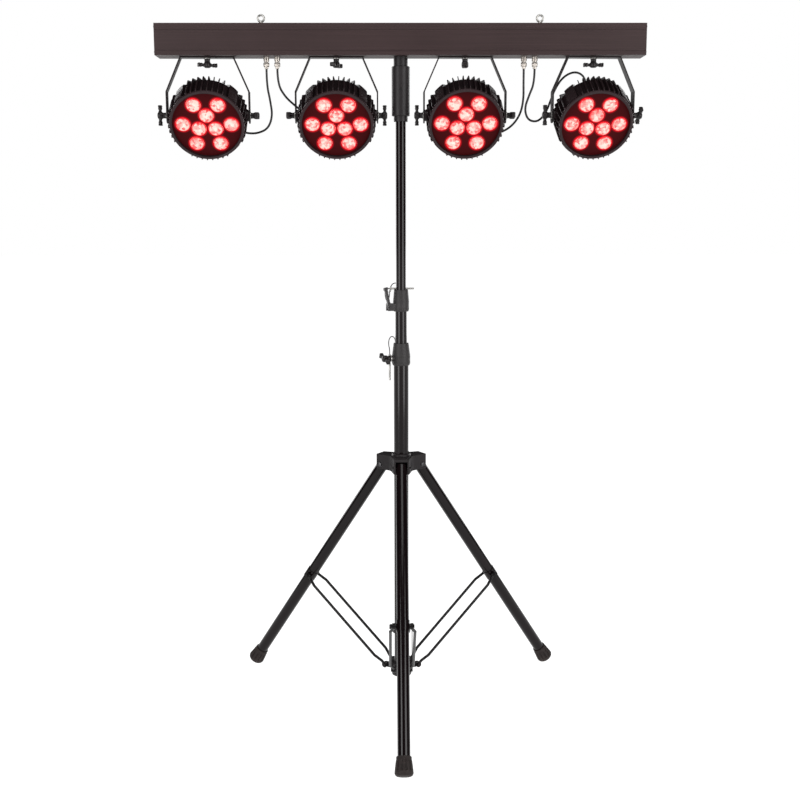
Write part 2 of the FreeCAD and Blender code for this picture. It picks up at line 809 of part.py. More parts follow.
def make_can_housing(number):
    body = new_body("CanHousing")
    shelf = "lens_plate_front - lens_plate_thickness"
    revolve(
        body,
        [
            ("can_mouth_radius", "can_front"),
            ("can_rim_radius", "can_front"),
            ("can_rim_radius", "can_front - rim_depth"),
            ("can_core_radius", "can_front - rim_depth"),
            ("can_core_radius", "-can_taper_start"),
            ("can_back_radius", "-can_back"),
            ("0", "-can_back"),
            ("0", "-can_back + can_wall"),
            ("can_back_radius - can_wall", "-can_back + can_wall"),
            ("can_core_radius - can_wall", "-can_taper_start"),
            ("can_core_radius - can_wall", shelf),
            ("can_mouth_radius", shelf),
        ],
    )
    half_group = -value("fin_step * (fins_per_group - 1) / 2")
    fin_sketch = new_sketch(body, "XZ_Plane", "Fin", turn=turned(Y_AXIS, half_group))
    add_outline(
        fin_sketch,
        [
            ("can_core_radius - 1.5", "can_front - rim_depth"),
            ("fin_radius - 1.5", "can_front - rim_depth"),
            ("fin_radius", "can_front - rim_depth - 2"),
            ("fin_radius", "-can_taper_start"),
            ("can_back_radius + 9", "-can_back + 4"),
            ("can_back_radius - 1.5", "-can_back + 1"),
            ("can_core_radius - 1.5", "-can_taper_start + 1"),
        ],
    )
    fin = pad(body, fin_sketch, "fin_thickness")
    fins = body.newObject("PartDesign::MultiTransform", "Fins")
    fins.Originals = [fin]
    one_group = body.newObject("PartDesign::PolarPattern", "FinGroup")
    one_group.Axis = (fin_sketch, ["V_Axis"])
    bind(one_group, Angle="fin_step * (fins_per_group - 1)", Occurrences="fins_per_group")
    all_groups = body.newObject("PartDesign::PolarPattern", "FinGroups")
    all_groups.Axis = (fin_sketch, ["V_Axis"])
    all_groups.Angle = 360
    bind(all_groups, Occurrences="fin_groups")
    fins.Transformations = [one_group, all_groups]
    body.Tip = fins
    boss_start = "can_core_radius - 1.5"
    boss_end = "yoke_half_span - yoke_strip - yoke_hang_gap"
    boss_sketch = new_sketch(body, "YZ_Plane", "Boss", boss_start)
    add_circle(boss_sketch, "pivot_boss_radius")
    boss = pad(body, boss_sketch, f"{boss_end} - ({boss_start})", midplane=False)
    bosses = body.newObject("PartDesign::Mirrored", "Bosses")
    bosses.Originals = [boss]
    bosses.MirrorPlane = (origin_feature(body, "YZ_Plane"), [""])
    body.Tip = bosses
    pivot_hole = new_sketch(body, "YZ_Plane", "PivotHole")
    add_circle(pivot_hole, "stud_radius + running_gap")
    pocket(body, pivot_hole, midplane=True)
    gland_sketch = new_sketch(body, "XY_Plane", "Gland", "-can_back + 1")
    add_circle(gland_sketch, "gland_radius", 0, "-gland_drop")
    pad(body, gland_sketch, "gland_length + 1", midplane=False, reversed_side=True)
    keep(place_can(body, number), f"can_housing_{number + 1}")


def make_lens_plate(number):
    body = new_body("LensPlate")
    disc = new_sketch(body, "XY_Plane", "Disc", "lens_plate_front - lens_plate_thickness")
    add_circle(disc, "can_mouth_radius - 0.2")
    pad(body, disc, "lens_plate_thickness", midplane=False)
    for name, across, along, count in (
        ("InnerHole", "0", "inner_lens_circle", 3),
        ("OuterHole", "outer_lens_circle", "0", 6),
    ):
        sketch = new_sketch(body, "XY_Plane", name, "lens_plate_front + 1")
        add_circle(sketch, "lens_radius + lens_hole_gap", across, along)
        polar(body, pocket(body, sketch), 360, count)
    keep(place_can(body, number), f"lens_plate_{number + 1}")


def make_light_engine(number):
    """The LED board with nine lens cups standing on it."""
    body = new_body("LightEngine")
    board = new_sketch(body, "XY_Plane", "Board", "led_board_front - board_thickness")
    add_circle(board, "led_board_radius")
    pad(body, board, "board_thickness", midplane=False)
    cup_height = "lens_front - led_board_front - 4"
    for name, across, along, count in (
        ("Inner", "0", "inner_lens_circle", 3),
        ("Outer", "outer_lens_circle", "0", 6),
    ):
        foot = new_sketch(body, "XY_Plane", f"{name}Foot", "led_board_front")
        add_circle(foot, "lens_foot_radius", across, along)
        cup = pad(body, foot, cup_height, midplane=False)
        bind(cup, TaperAngle=f"atan((lens_radius - lens_foot_radius) / ({cup_height}))")
        face = new_sketch(body, "XY_Plane", f"{name}Face", "lens_front - 4")
        add_circle(face, "lens_radius", across, along)
        cap = pad(body, face, "4", midplane=False)
        pattern = polar(body, cup, 360, count)
        pattern.Originals = [cup, cap]
    keep(place_can(body, number), f"light_engine_{number + 1}")


def make_yoke(number):
    """A strip bent into a hoop: a flat top, two slanting shoulders and two upright arms."""
    top = "(bar_bottom - yoke_hang_gap - tilt_axis_height)"
    slant = f"atan((yoke_half_span - yoke_top_half) / ({top} - yoke_shoulder))"
    inner_shoulder = f"yoke_shoulder - yoke_strip * tan({slant} / 2)"
    inner_top_half = f"yoke_top_half - yoke_strip * tan((90 deg - {slant}) / 2)"
    right_side = [
        ("yoke_top_half", top),
        ("yoke_half_span", "yoke_shoulder"),
        ("yoke_half_span", "-yoke_tail"),
        ("yoke_half_span - yoke_strip", "-yoke_tail"),
        ("yoke_half_span - yoke_strip", inner_shoulder),
        (inner_top_half, f"{top} - yoke_strip"),
    ]
    left_side = [(f"-({across})", along) for across, along in right_side[::-1]]
    body = new_body("Yoke")
    hoop = new_sketch(body, "XZ_Plane", "Hoop")
    add_outline(hoop, right_side + left_side)
    pad(body, hoop, "yoke_width")
    pan_hole = new_sketch(body, "XY_Plane", "PanHole")
    add_circle(pan_hole, "stud_radius + running_gap")
    pocket(body, pan_hole, reversed_side=True)
    tilt_hole = new_sketch(body, "YZ_Plane", "TiltHole")
    add_circle(tilt_hole, "stud_radius + running_gap")
    pocket(body, tilt_hole, midplane=True)
    half_width = value("yoke_width / 2")
    tail = value("-yoke_tail")

    def is_tail_corner(start, end):
        return all(near(end_point.z, tail) and near(abs(end_point.y), half_width)
                   for end_point in (start, end)) and not near(start.x, end.x)

    fillet(body, "yoke_width / 2 - 1", between(is_tail_corner))
    keep(place_yoke(body, number), f"yoke_{number + 1}")


def make_pan_knob(number):
    knob = t_knob("pan_stud_length")
    flip = turned(Z_AXIS, PAN_KNOB_TURN[number]).multiply(turned(X_AXIS, 180))
    at(knob, PAN_AXES[number], 0, "bar_bottom - yoke_hang_gap - yoke_strip", flip)
    keep(knob, f"pan_knob_{number + 1}")


def make_tilt_knobs(number):
    knobs = []
    for side, turn in zip((-1, 1), TILT_KNOB_TURN[number]):
        knob = t_knob("tilt_stud_length")
        outward = turned(Y_AXIS, 90 * side).multiply(turned(Z_AXIS, turn))
        at(knob, f"{side} * yoke_half_span", 0, 0, outward)
        knobs.append(knob)
    keep(place_yoke(group(*knobs), number), f"tilt_knobs_{number + 1}")


LEAD_ROUTES = [
    [(-308.5, 0, 1519.4), (-308.5, 0, 1483.6), (-301.9, 7.8, 1449), (-298.4, 19.4, 1415.5),
     (-311, 36.6, 1387.7), (-339.3, 55.6, 1377.9), (-368.2, 76.3, 1380.4), (-393.4, 99.8, 1389.9),
     (-415.2, 122.1, 1406.9), (-435.1, 122, 1435)],
    [(-283.5, 0, 1519.4), (-283.5, 0, 1486.4), (-268.8, 16.6, 1459.7), (-248.6, 35.6, 1441.8),
     (-229.3, 58.2, 1427.2), (-213.6, 85.4, 1417.6), (-196.2, 111.9, 1423.9),
     (-170.4, 114.2, 1442.9)],
    [(283.5, 0, 1519.4), (283.5, 0, 1485.5), (285, 7.3, 1452.2), (279.8, 17.2, 1420.4),
     (263.1, 30.7, 1394.5), (239.3, 49.5, 1380), (216.1, 73.7, 1377.1), (196.6, 100.5, 1383.5),
     (177.4, 120, 1402.5), (159.4, 120.1, 1430.6)],
    [(308.5, 0, 1519.4), (308.5, 0, 1487.7), (295.5, -8.2, 1458.5), (285.1, -11, 1428.9),
     (295.1, 3.5, 1404), (321.2, 19, 1401.4), (340.8, 27.1, 1424.1), (351.7, 31.9, 1453.6),
     (363.7, 36.9, 1482.6), (382.3, 44.3, 1507.1), (407.3, 58.4, 1519.8), (430.8, 79.1, 1517.1),
     (445.3, 101.7, 1500.9), (443.8, 107.9, 1471.8)],
]


def gland_axis(number):
    """The end of a can's gland and the direction that its lead leaves in."""
    rotation = can_rotation(number)
    pivot = point(PAN_AXES[number], 0, "tilt_axis_height")
    tip = rotation.multVec(point(0, "-gland_drop", "-can_back - gland_length"))
    out = rotation.multVec(Vector(0, 0, -1))
    return pivot + tip, out


def make_lead(number):
    tip, out = gland_axis(number)
    route = list(LEAD_ROUTES[number])
    for spot in (tip + out * value("lead_last_run"), tip):
        route.append((spot.x, spot.y, spot.z))
    cord(f"lead_{number + 1}", route, value("lead_radius"))


def make_cans():
    for number in range(len(PAN_AXES)):
        make_can_housing(number)
        make_lens_plate(number)
        make_light_engine(number)
        make_yoke(number)
        make_pan_knob(number)
        make_tilt_knobs(number)
        make_lead(number)


# ---------------------------------------------------------------- the mast

def make_mast_tubes():
    base = tube("base_tube_radius", "base_tube_radius - tube_wall", "base_tube_bottom",
                "base_tube_top - base_tube_bottom")
    keep(base, "base_tube")
    middle = tube("middle_tube_radius", "middle_tube_radius - tube_wall",
                  "middle_tube_bottom", "middle_tube_top - middle_tube_bottom")
    keep(middle, "middle_tube")
    upper = tube("upper_tube_radius", "upper_tube_radius - tube_wall", "upper_tube_bottom",
                 "upper_tube_top - upper_tube_bottom")
    pin_hole = cylinder("pin_radius + running_gap", "4 * upper_tube_radius",
                        "-2 * upper_tube_radius", 0, "upper_pin_height", ALONG_X)
    keep(cut(upper, pin_hole), "upper_tube")


def make_lower_collar():
    body = turned_body(
        "LowerCollar",
        [
            ("base_tube_radius + running_gap", "lower_collar_bottom"),
            ("lower_collar_radius - 2", "lower_collar_bottom"),
            ("lower_collar_radius", "lower_collar_bottom + 4"),
            ("lower_collar_radius", "lower_collar_bottom + 24"),
            ("lower_collar_neck", "lower_collar_top"),
            ("middle_tube_radius + running_gap", "lower_collar_top"),
            ("middle_tube_radius + running_gap", "base_tube_top"),
            ("base_tube_radius + running_gap", "base_tube_top"),
        ],
    )
    boss = radial_cylinder(LOWER_KNOB_DIRECTION, "collar_lug_radius",
                           "collar_lug_reach - base_tube_radius - 1",
                           "base_tube_radius + 1", "lower_knob_height")
    hole = radial_cylinder(LOWER_KNOB_DIRECTION, "stud_radius + running_gap",
                           "collar_lug_reach - base_tube_radius",
                           "base_tube_radius + 1.5", "lower_knob_height")
    keep(cut(fused(body, boss), hole), "lower_collar")


def place_radial_knob(knob, direction, reach, height, turn):
    """Puts a knob's clamped face on a boss that points outwards from the mast."""
    outward = turned(Z_AXIS, direction).multiply(ALONG_X).multiply(turned(Z_AXIS, turn))
    knob.Placement = Placement(turned(Z_AXIS, direction).multVec(point(reach, 0, height)), outward)
    return knob


LOWER_KNOB_DIRECTION = 205.0
LOWER_KNOB_TURN = 75
LEVER_DIRECTION = 200.0
HUB_KNOB_DIRECTION = 90.0
HUB_KNOB_TURN = 50.0


def make_lower_knob():
    knob = t_knob("collar_lug_reach - base_tube_radius - 2")
    place_radial_knob(knob, LOWER_KNOB_DIRECTION, "collar_lug_reach", "lower_knob_height",
                      LOWER_KNOB_TURN)
    keep(knob, "lower_knob")


def make_upper_collar():
    body = turned_body(
        "UpperCollar",
        [
            ("middle_tube_radius + running_gap", "upper_collar_bottom"),
            ("upper_collar_radius - 1.5", "upper_collar_bottom"),
            ("upper_collar_radius", "upper_collar_bottom + 3"),
            ("upper_collar_radius", "upper_collar_bottom + 26"),
            ("upper_collar_neck", "upper_collar_top"),
            ("upper_tube_radius + running_gap", "upper_collar_top"),
            ("upper_tube_radius + running_gap", "middle_tube_top"),
            ("middle_tube_radius + running_gap", "middle_tube_top"),
        ],
    )
    lug_start = "middle_tube_radius + 2"
    lug = radial_box(LEVER_DIRECTION, f"lug_reach - ({lug_start})", "lug_cheek_width",
                     "lug_height", lug_start, 0, "lever_pivot_height - lug_height / 2")
    slot = radial_box(LEVER_DIRECTION, "lug_reach", "lever_width + 0.6", "lug_height + 2",
                      "upper_collar_radius + 3", 0, "lever_pivot_height - lug_height / 2 - 1")
    pin = tangent_cylinder(LEVER_DIRECTION, "lever_pin_radius", "lug_cheek_width + 3",
                           "lever_pivot_reach", 0, "lever_pivot_height")
    keep(fused(cut(fused(body, lug), slot), pin), "upper_collar")


def make_upper_lever():
    """A cam lever on a pin between the collar's two lug cheeks."""
    body = new_body("Lever")
    outline = new_sketch(body, "XZ_Plane", "Outline")
    add_outline(
        outline,
        [
            ("-5", "-4"),
            ("-3", "-6"),
            ("3", "-6"),
            ("5", "-4"),
            ("5", "5"),
            ("lever_thickness / 2", "12"),
            ("lever_thickness / 2", "lever_length - 8"),
            ("lever_thickness / 2 + 2", "lever_length - 5"),
            ("lever_thickness / 2 + 1", "lever_length"),
            ("-lever_thickness / 2 - 2", "lever_length"),
            ("-lever_thickness / 2", "lever_length - 8"),
            ("-lever_thickness / 2", "12"),
            ("-5", "5"),
        ],
    )
    pad(body, outline, "lever_width")
    hole = new_sketch(body, "XZ_Plane", "Hole")
    add_circle(hole, "lever_pin_radius + running_gap")
    pocket(body, hole, midplane=True)
    direction = turned(Z_AXIS, LEVER_DIRECTION)
    spot = direction.multVec(point("lever_pivot_reach", 0, "lever_pivot_height"))
    lean = direction.multiply(turned(Y_AXIS, value("lever_lean")))
    body.Placement = Placement(spot, lean)
    keep(body, "upper_lever")


def make_upper_pin():
    head = cylinder("pin_head_radius", 4, "-upper_pin_left", 0, "upper_pin_height", ALONG_X)
    shaft = cylinder("pin_radius", "upper_pin_left + upper_pin_right", "-upper_pin_left", 0,
                     "upper_pin_height", ALONG_X)
    keep(fused(head, shaft), "upper_pin")


LOWER_PIN_DIRECTION = 163.0


def make_lower_pin():
    """The spare locking pin: it hangs by its head from its lanyard beside the mast."""
    spot = turned(Z_AXIS, LOWER_PIN_DIRECTION).multVec(point("lower_pin_reach", 0, 0))
    shaft = cylinder("pin_radius", "lower_pin_length", f"{spot.x:.3f}", f"{spot.y:.3f}",
                     "lower_pin_top - lower_pin_length")
    head = cylinder("pin_head_radius - 0.8", 5, f"{spot.x:.3f}", f"{spot.y:.3f}",
                    "lower_pin_top - 5")
    keep(fused(shaft, head), "lower_pin")


UPPER_LANYARD_ROUTE = [
    (-10.25, 6.33, 1028), (-16.5, 10.19, 1028), (-22.5, 15, 1023), (-26, 19.5, 1013),
    (-27, 22, 1001.5), (-28.5, 20, 990.5), (-31, 13.5, 984), (-34, 6, 985.5), (-36.8, 1.5, 993.5),
    (-38, 0, 1002), (-37.4, 0, 1009.8), (-33.4, 0, 1015.3), (-26.6, 0, 1015.3),
]
LOWER_LANYARD_ROUTE = [
    (-13.65, 8.2, 885.6), (-13.65, 8.2, 892.5), (-17.2, 10.2, 899), (-23, 13, 900.5),
    (-27.8, 15.2, 895.5), (-29.8, 15.2, 887.5), (-29.6, 13.6, 879), (-27.95, 10.2, 871.5),
    (-27.25, 8.33, 864), (-27.25, 8.33, 857.1),
]


def make_lanyards():
    radius = 1.1
    cord("upper_lanyard", UPPER_LANYARD_ROUTE, radius)
    cord("lower_lanyard", LOWER_LANYARD_ROUTE, radius)


# ---------------------------------------------------------------- the tripod

LEG_ANGLE = value("leg_angle")
FOOT_SLOPE = "((foot_end_radius - foot_mouth_radius) / foot_length)"
FOOT_CORNER_REACH = (
    f"(foot_end_radius - foot_corner_radius * ({FOOT_SLOPE} + sqrt(1 + {FOOT_SLOPE}^2)))"
)
# from the leg's pivot to its foot's end, so that the rounded corner just meets the floor
FOOT_DISTANCE = (
    f"((leg_pivot_height - foot_corner_radius - {FOOT_CORNER_REACH} * sin(leg_angle))"
    " / cos(leg_angle) + foot_corner_radius)"
)


def leg_placement(item, direction):
    """From a leg's own frame, pivot at the origin and foot along -Z, to the model's."""
    about_mast = turned(Z_AXIS, direction)
    spot = about_mast.multVec(point("leg_pivot_reach", 0, "leg_pivot_height"))
    item.Placement = Placement(spot, about_mast.multiply(turned(Y_AXIS, -LEG_ANGLE)))
    return item


def make_leg(name, direction):
    length = f"({FOOT_DISTANCE} - foot_floor)"
    shell = tube("leg_radius", "leg_radius - leg_wall", f"-{length}", f"{length} + leg_head")
    cross_hole = cylinder("stud_radius + running_gap", "4 * leg_radius", 0, "-2 * leg_radius", 0,
                          ALONG_Y)
    band_bottom = "-clip_distance - clip_length / 2"
    band = cut(
        cylinder("leg_radius + clip_thickness", "clip_length", z=band_bottom),
        cylinder("leg_radius + 0.02", "clip_length + 2", z=f"{band_bottom} - 1"),
    )
    ear_end = "strut_end_offset - strut_eye_thickness / 2 - 0.3"
    ear_start = "leg_radius + clip_thickness - 0.6"
    ears = [
        cylinder("5.5", f"{ear_end} - ({ear_start})", 0, start, "-clip_distance", ALONG_Y)
        for start in (ear_start, f"-({ear_end})")
    ]
    clip = fused(band, *ears)
    keep(leg_placement(group(cut(shell, cross_hole), clip), direction), f"leg_{name}")


def make_foot(name, direction):
    """A rubber cup that widens towards its rounded end."""
    end = f"-{FOOT_DISTANCE}"
    well = "leg_radius + 0.05"
    body = turned_body(
        "Foot",
        [
            ("0", end),
            ("foot_end_radius", end),
            ("foot_mouth_radius", f"{end} + foot_length"),
            (well, f"{end} + foot_length"),
            (well, f"{end} + foot_floor"),
            ("0", f"{end} + foot_floor"),
        ],
    )
    level = value(end)

    def is_rim(edge):
        return edge.Closed and near(edge.BoundBox.ZMin, level) and near(edge.BoundBox.ZMax, level)

    fillet(body, "foot_corner_radius", is_rim)
    keep(leg_placement(body, direction), f"foot_{name}")


def strut_line():
    """The strut's length and its angle from the vertical while the tripod stands open."""
    angle = math.radians(LEG_ANGLE)
    out = value("leg_pivot_reach") + value("clip_distance") * math.sin(angle)
    up = value("leg_pivot_height") - value("clip_distance") * math.cos(angle)
    out -= value("strut_pivot_reach")
    up -= value("strut_pivot_height")
    return math.hypot(out, up), math.degrees(math.atan2(out, up))


STRUT_LENGTH, STRUT_ANGLE = strut_line()


def make_strut_rod(side):
    """One bent rod with an eye at each end, in the strut's own frame along +Z."""
    end, middle = f"{side} * strut_end_offset", f"{side} * strut_mid_offset"
    spots = [
        (end, "0"),
        (end, "strut_bend_start"),
        (middle, "strut_bend_end"),
        (middle, f"{STRUT_LENGTH:.4f} - strut_bend_end"),
        (end, f"{STRUT_LENGTH:.4f} - strut_bend_start"),
        (end, f"{STRUT_LENGTH:.4f}"),
    ]
    body = new_body("StrutRod")
    path = new_sketch(body, "YZ_Plane", "Path")
    corners = [point(across, along, 0) for across, along in spots]
    path.addGeometry([Part.LineSegment(a, b) for a, b in zip(corners, corners[1:])])
    for i in range(len(corners) - 2):
        path.addConstraint(Sketcher.Constraint("Coincident", i, 2, i + 1, 1))
    for i, (across, along) in enumerate(spots):
        line, end_number = (i, 1) if i < len(spots) - 1 else (i - 1, 2)
        for kind, text, number in (("DistanceX", across, corners[i].x),
                                   ("DistanceY", along, corners[i].y)):
            index = path.addConstraint(
                Sketcher.Constraint(kind, -1, 1, line, end_number, number))
            path.setExpression(f"Constraints[{index}]", formula(text))
    section = new_sketch(body, "XY_Plane", "Section")
    add_circle(section, "strut_rod_radius", 0, end)
    rod = body.newObject("PartDesign::AdditivePipe", "Rod")
    rod.Profile = section
    rod.Spine = path
    rod.Transition = "Right corner"
    start = f"{end} - strut_eye_thickness / 2"
    eyes = [
        cylinder("strut_eye_radius", "strut_eye_thickness", 0, start, z, ALONG_Y)
        for z in ("0", f"{STRUT_LENGTH:.4f}")
    ]
    cover = "strut_eye_thickness / 2"
    head_start = f"{side} * (strut_end_offset + {cover})" + ("" if side > 0 else " - 2.2")
    bolt_head = cylinder(4.4, 2.2, 0, head_start, f"{STRUT_LENGTH:.4f}", ALONG_Y)
    holes = [
        cylinder("strut_bolt_radius + running_gap", "4 * strut_eye_thickness", 0,
                 f"{end} - 2 * strut_eye_thickness", "0", ALONG_Y)
    ]
    return cut(fused(body, bolt_head, *eyes), *holes)


def make_struts(name, direction):
    pair = group(make_strut_rod(-1), make_strut_rod(1))
    about_mast = turned(Z_AXIS, direction)
    spot = about_mast.multVec(point("strut_pivot_reach", 0, "strut_pivot_height"))
    pair.Placement = Placement(spot, about_mast.multiply(turned(Y_AXIS, STRUT_ANGLE)))
    keep(pair, f"struts_{name}")


def make_strut_bracket():
    """The fixed bracket at the mast's foot, and the stop ring that it carries on three wires."""
    ear_lateral = "(strut_end_offset - strut_eye_thickness / 2 - 0.15 - bracket_ear_thickness / 2)"
    pieces = [cylinder("bracket_radius", "bracket_height", z="bracket_bottom")]
    for direction in LEG_DIRECTION.values():
        for side in (-1, 1):
            lateral = f"{side} * {ear_lateral}"
            ear_length = "strut_pivot_reach - bracket_ear_start"
            pieces.append(
                radial_box(direction, ear_length, "bracket_ear_thickness", "14",
                           "bracket_ear_start", lateral, "strut_pivot_height - 7"))
            pieces.append(
                tangent_cylinder(direction, "7", "bracket_ear_thickness", "strut_pivot_reach",
                                 lateral, "strut_pivot_height"))
            bolt_lateral = f"{side} * (strut_end_offset + 0.5)"
            pieces.append(
                tangent_cylinder(direction, "strut_bolt_radius", "strut_eye_thickness + 5",
                                 "strut_pivot_reach", bolt_lateral, "strut_pivot_height"))
            head_lateral = f"{side} * (strut_end_offset + strut_eye_thickness / 2 + 1.75)"
            pieces.append(
                tangent_cylinder(direction, "4.6", "2.6", "strut_pivot_reach", head_lateral,
                                 "strut_pivot_height"))
        pieces.append(
            radial_box(direction, "stop_ear_reach - 18", "7", "stop_ring_height - 3", "18", 0,
                       "stop_ring_bottom + 1.5"))
        pieces.append(
            radial_box(direction, "stop_wire_reach + 3 - 18", "5", "6", "18", 0,
                       "bracket_bottom + bracket_height - 8"))
        wire = cylinder("stop_wire_radius", "stop_ring_bottom - bracket_bottom - bracket_height + 8")
        spot = turned(Z_AXIS, direction).multVec(
            point("stop_wire_reach", 0, "bracket_bottom + bracket_height - 4"))
        wire.Placement = Placement(spot, Rotation())
        pieces.append(wire)
    pieces.append(cylinder("stop_ring_radius", "stop_ring_height", z="stop_ring_bottom"))
    bore = cylinder("base_tube_radius + 0.02", "stop_ring_bottom + stop_ring_height",
                    z="bracket_bottom - 1")
    keep(cut(fused(*pieces), bore), "strut_bracket")


def make_hub():
    """The sliding casting: three arms with hollowed flanks, each forked round a leg's head."""
    body = new_body("Hub")
    plan = new_sketch(body, "XY_Plane", "Plan", "hub_top")
    corners = []
    for direction in sorted(LEG_DIRECTION.values()):
        for side in ("-", "+"):
            across = f"hub_arm_reach * cos({direction}) {'+' if side == '-' else '-'} "
            along = f"hub_arm_reach * sin({direction}) {side} "
            corners.append((f"{across} hub_arm_width / 2 * sin({direction})",
                            f"{along} hub_arm_width / 2 * cos({direction})"))
        corners.append((f"hub_waist * cos({direction + 60})", f"hub_waist * sin({direction + 60})"))
    add_outline(plan, corners)
    pad(body, plan, "hub_height", midplane=False, reversed_side=True)
    waist = value("hub_waist")

    def is_flank(start, end):
        return near(start.x, end.x) and near(start.y, end.y) and near(
            math.hypot(start.x, start.y), waist)

    fillet(body, "hub_waist_radius", between(is_flank))
    sleeve = new_sketch(body, "XY_Plane", "Sleeve", "hub_sleeve_bottom")
    add_circle(sleeve, "hub_sleeve_radius")
    pad(body, sleeve, "hub_top - hub_sleeve_bottom - 1", midplane=False)
    slot = new_sketch(body, "XY_Plane", "Slot", "hub_top - hub_height")
    slot_length = "(hub_arm_reach + 4 - hub_slot_start)"
    add_outline(slot, rectangle("hub_slot_width", slot_length, 0,
                                f"-hub_slot_start - {slot_length} / 2"))
    polar(body, pocket(body, slot, "hub_height - hub_roof", reversed_side=True), 360, 3)
    bore = new_sketch(body, "XY_Plane", "Bore", "hub_top + 1")
    add_circle(bore, "base_tube_radius + 0.3")
    pocket(body, bore)
    direction = HUB_KNOB_DIRECTION
    boss = radial_cylinder(direction, "hub_boss_radius", "hub_boss_reach - base_tube_radius - 2",
                           "base_tube_radius + 2", "hub_knob_height")
    hole = radial_cylinder(direction, "stud_radius + running_gap", "hub_boss_reach",
                           "base_tube_radius - 4", "hub_knob_height")
    bolt_room = []
    for leg in LEG_DIRECTION.values():
        bolt_room.append(
            tangent_cylinder(leg, "stud_radius", "hub_arm_width + 4", "leg_pivot_reach", 0,
                             "leg_pivot_height"))
        for side in (-1, 1):
            bolt_room.append(
                tangent_cylinder(leg, "hub_bolt_head_radius + 1.2", "12", "leg_pivot_reach",
                                 f"{side} * (hub_arm_width / 2 + 6)", "leg_pivot_height"))
    keep(cut(fused(body, boss), hole, *bolt_room), "hub")


def make_hub_bolts():
    bolts = []
    for direction in LEG_DIRECTION.values():
        shank = tangent_cylinder(direction, "stud_radius", "hub_arm_width + 8", "leg_pivot_reach",
                                 0, "leg_pivot_height")
        heads = [
            tangent_cylinder(direction, "hub_bolt_head_radius", "3.4", "leg_pivot_reach",
                             f"{side} * (hub_arm_width / 2 + 1.7)", "leg_pivot_height")
            for side in (-1, 1)
        ]
        bolts.append(fused(shank, *heads))
    keep(group(*bolts), "hub_bolts")


def make_hub_knob():
    knob = t_knob("hub_boss_reach - base_tube_radius - 0.5")
    place_radial_knob(knob, HUB_KNOB_DIRECTION, "hub_boss_reach", "hub_knob_height",
                      HUB_KNOB_TURN)
    keep(knob, "hub_knob")


# ---------------------------------------------------------------- build, check and write

def build_model():
    make_bar_housing()
    make_end_caps()
    make_eye_bolts()
    make_mast_socket()
    make_lead_plugs()
    make_power_supply()
    make_controller_board()
    make_control_panel()
    make_cans()
    make_mast_tubes()
    make_lower_collar()
    make_lower_knob()
    make_upper_collar()
    make_upper_lever()
    make_upper_pin()
    make_lower_pin()
    make_lanyards()
    for name, direction in LEG_DIRECTION.items():
        make_leg(name, direction)
        make_foot(name, direction)
        make_struts(name, direction)
    make_strut_bracket()
    make_hub()
    make_hub_bolts()
    make_hub_knob()
    document.recompute()


def check_model():
    for item in document.Objects:
        if "Invalid" in item.State or "Error" in item.State:
            raise RuntimeError(f"{item.Name} ({item.Label}) didn't recompute: {item.State}")
    for item in sub_parts:
        if item.Shape.isNull() or not item.Shape.isValid() or not item.Shape.Solids:
            raise RuntimeError(f"{item.Label} has no valid solid")


def write_parts():
    os.makedirs("parts", exist_ok=True)
    for item in sub_parts:
        item.Shape.exportStep(f"parts/{item.Label}.step")
    print(f"{len(sub_parts)} sub-parts written")


build_model()
check_model()
write_parts()
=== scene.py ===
import math

import bmesh
import bpy
from bpy.props import (
    EnumProperty, FloatProperty, FloatVectorProperty, IntProperty, PointerProperty,
)
from mathutils import Matrix, Vector


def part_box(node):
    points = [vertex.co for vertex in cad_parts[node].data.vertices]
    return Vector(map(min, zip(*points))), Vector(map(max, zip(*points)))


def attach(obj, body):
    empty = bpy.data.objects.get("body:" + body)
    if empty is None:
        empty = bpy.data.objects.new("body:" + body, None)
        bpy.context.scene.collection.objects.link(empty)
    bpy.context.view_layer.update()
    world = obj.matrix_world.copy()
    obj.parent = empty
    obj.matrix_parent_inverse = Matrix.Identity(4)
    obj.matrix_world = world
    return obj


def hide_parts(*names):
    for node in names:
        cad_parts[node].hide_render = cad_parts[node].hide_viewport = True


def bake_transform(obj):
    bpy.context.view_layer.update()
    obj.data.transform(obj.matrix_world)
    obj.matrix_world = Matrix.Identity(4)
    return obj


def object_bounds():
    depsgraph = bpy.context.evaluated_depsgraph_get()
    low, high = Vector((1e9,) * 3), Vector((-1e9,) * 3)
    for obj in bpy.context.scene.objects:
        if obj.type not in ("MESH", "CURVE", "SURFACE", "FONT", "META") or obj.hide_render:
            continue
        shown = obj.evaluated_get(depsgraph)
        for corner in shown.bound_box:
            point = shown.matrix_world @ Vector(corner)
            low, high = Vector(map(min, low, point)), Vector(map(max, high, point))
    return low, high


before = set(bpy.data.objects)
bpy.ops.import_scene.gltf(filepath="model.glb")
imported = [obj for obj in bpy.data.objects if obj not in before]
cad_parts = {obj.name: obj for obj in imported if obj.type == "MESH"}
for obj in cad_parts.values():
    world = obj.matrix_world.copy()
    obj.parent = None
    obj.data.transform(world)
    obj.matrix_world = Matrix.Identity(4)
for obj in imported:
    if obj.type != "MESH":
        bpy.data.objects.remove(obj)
CAD_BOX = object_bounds()

bl_info = {
    "name": "Par Can Light Set",
    "version": (1, 0, 0),
    "blender": (4, 5, 0),
    "location": "3D View > Sidebar > Par Cans",
    "description": "Finishes and fine pieces for a light bar with four par cans on a tripod stand",
    "category": "Add Mesh",
}

# ------------------------------------------------------------------ sizes, in metres and degrees

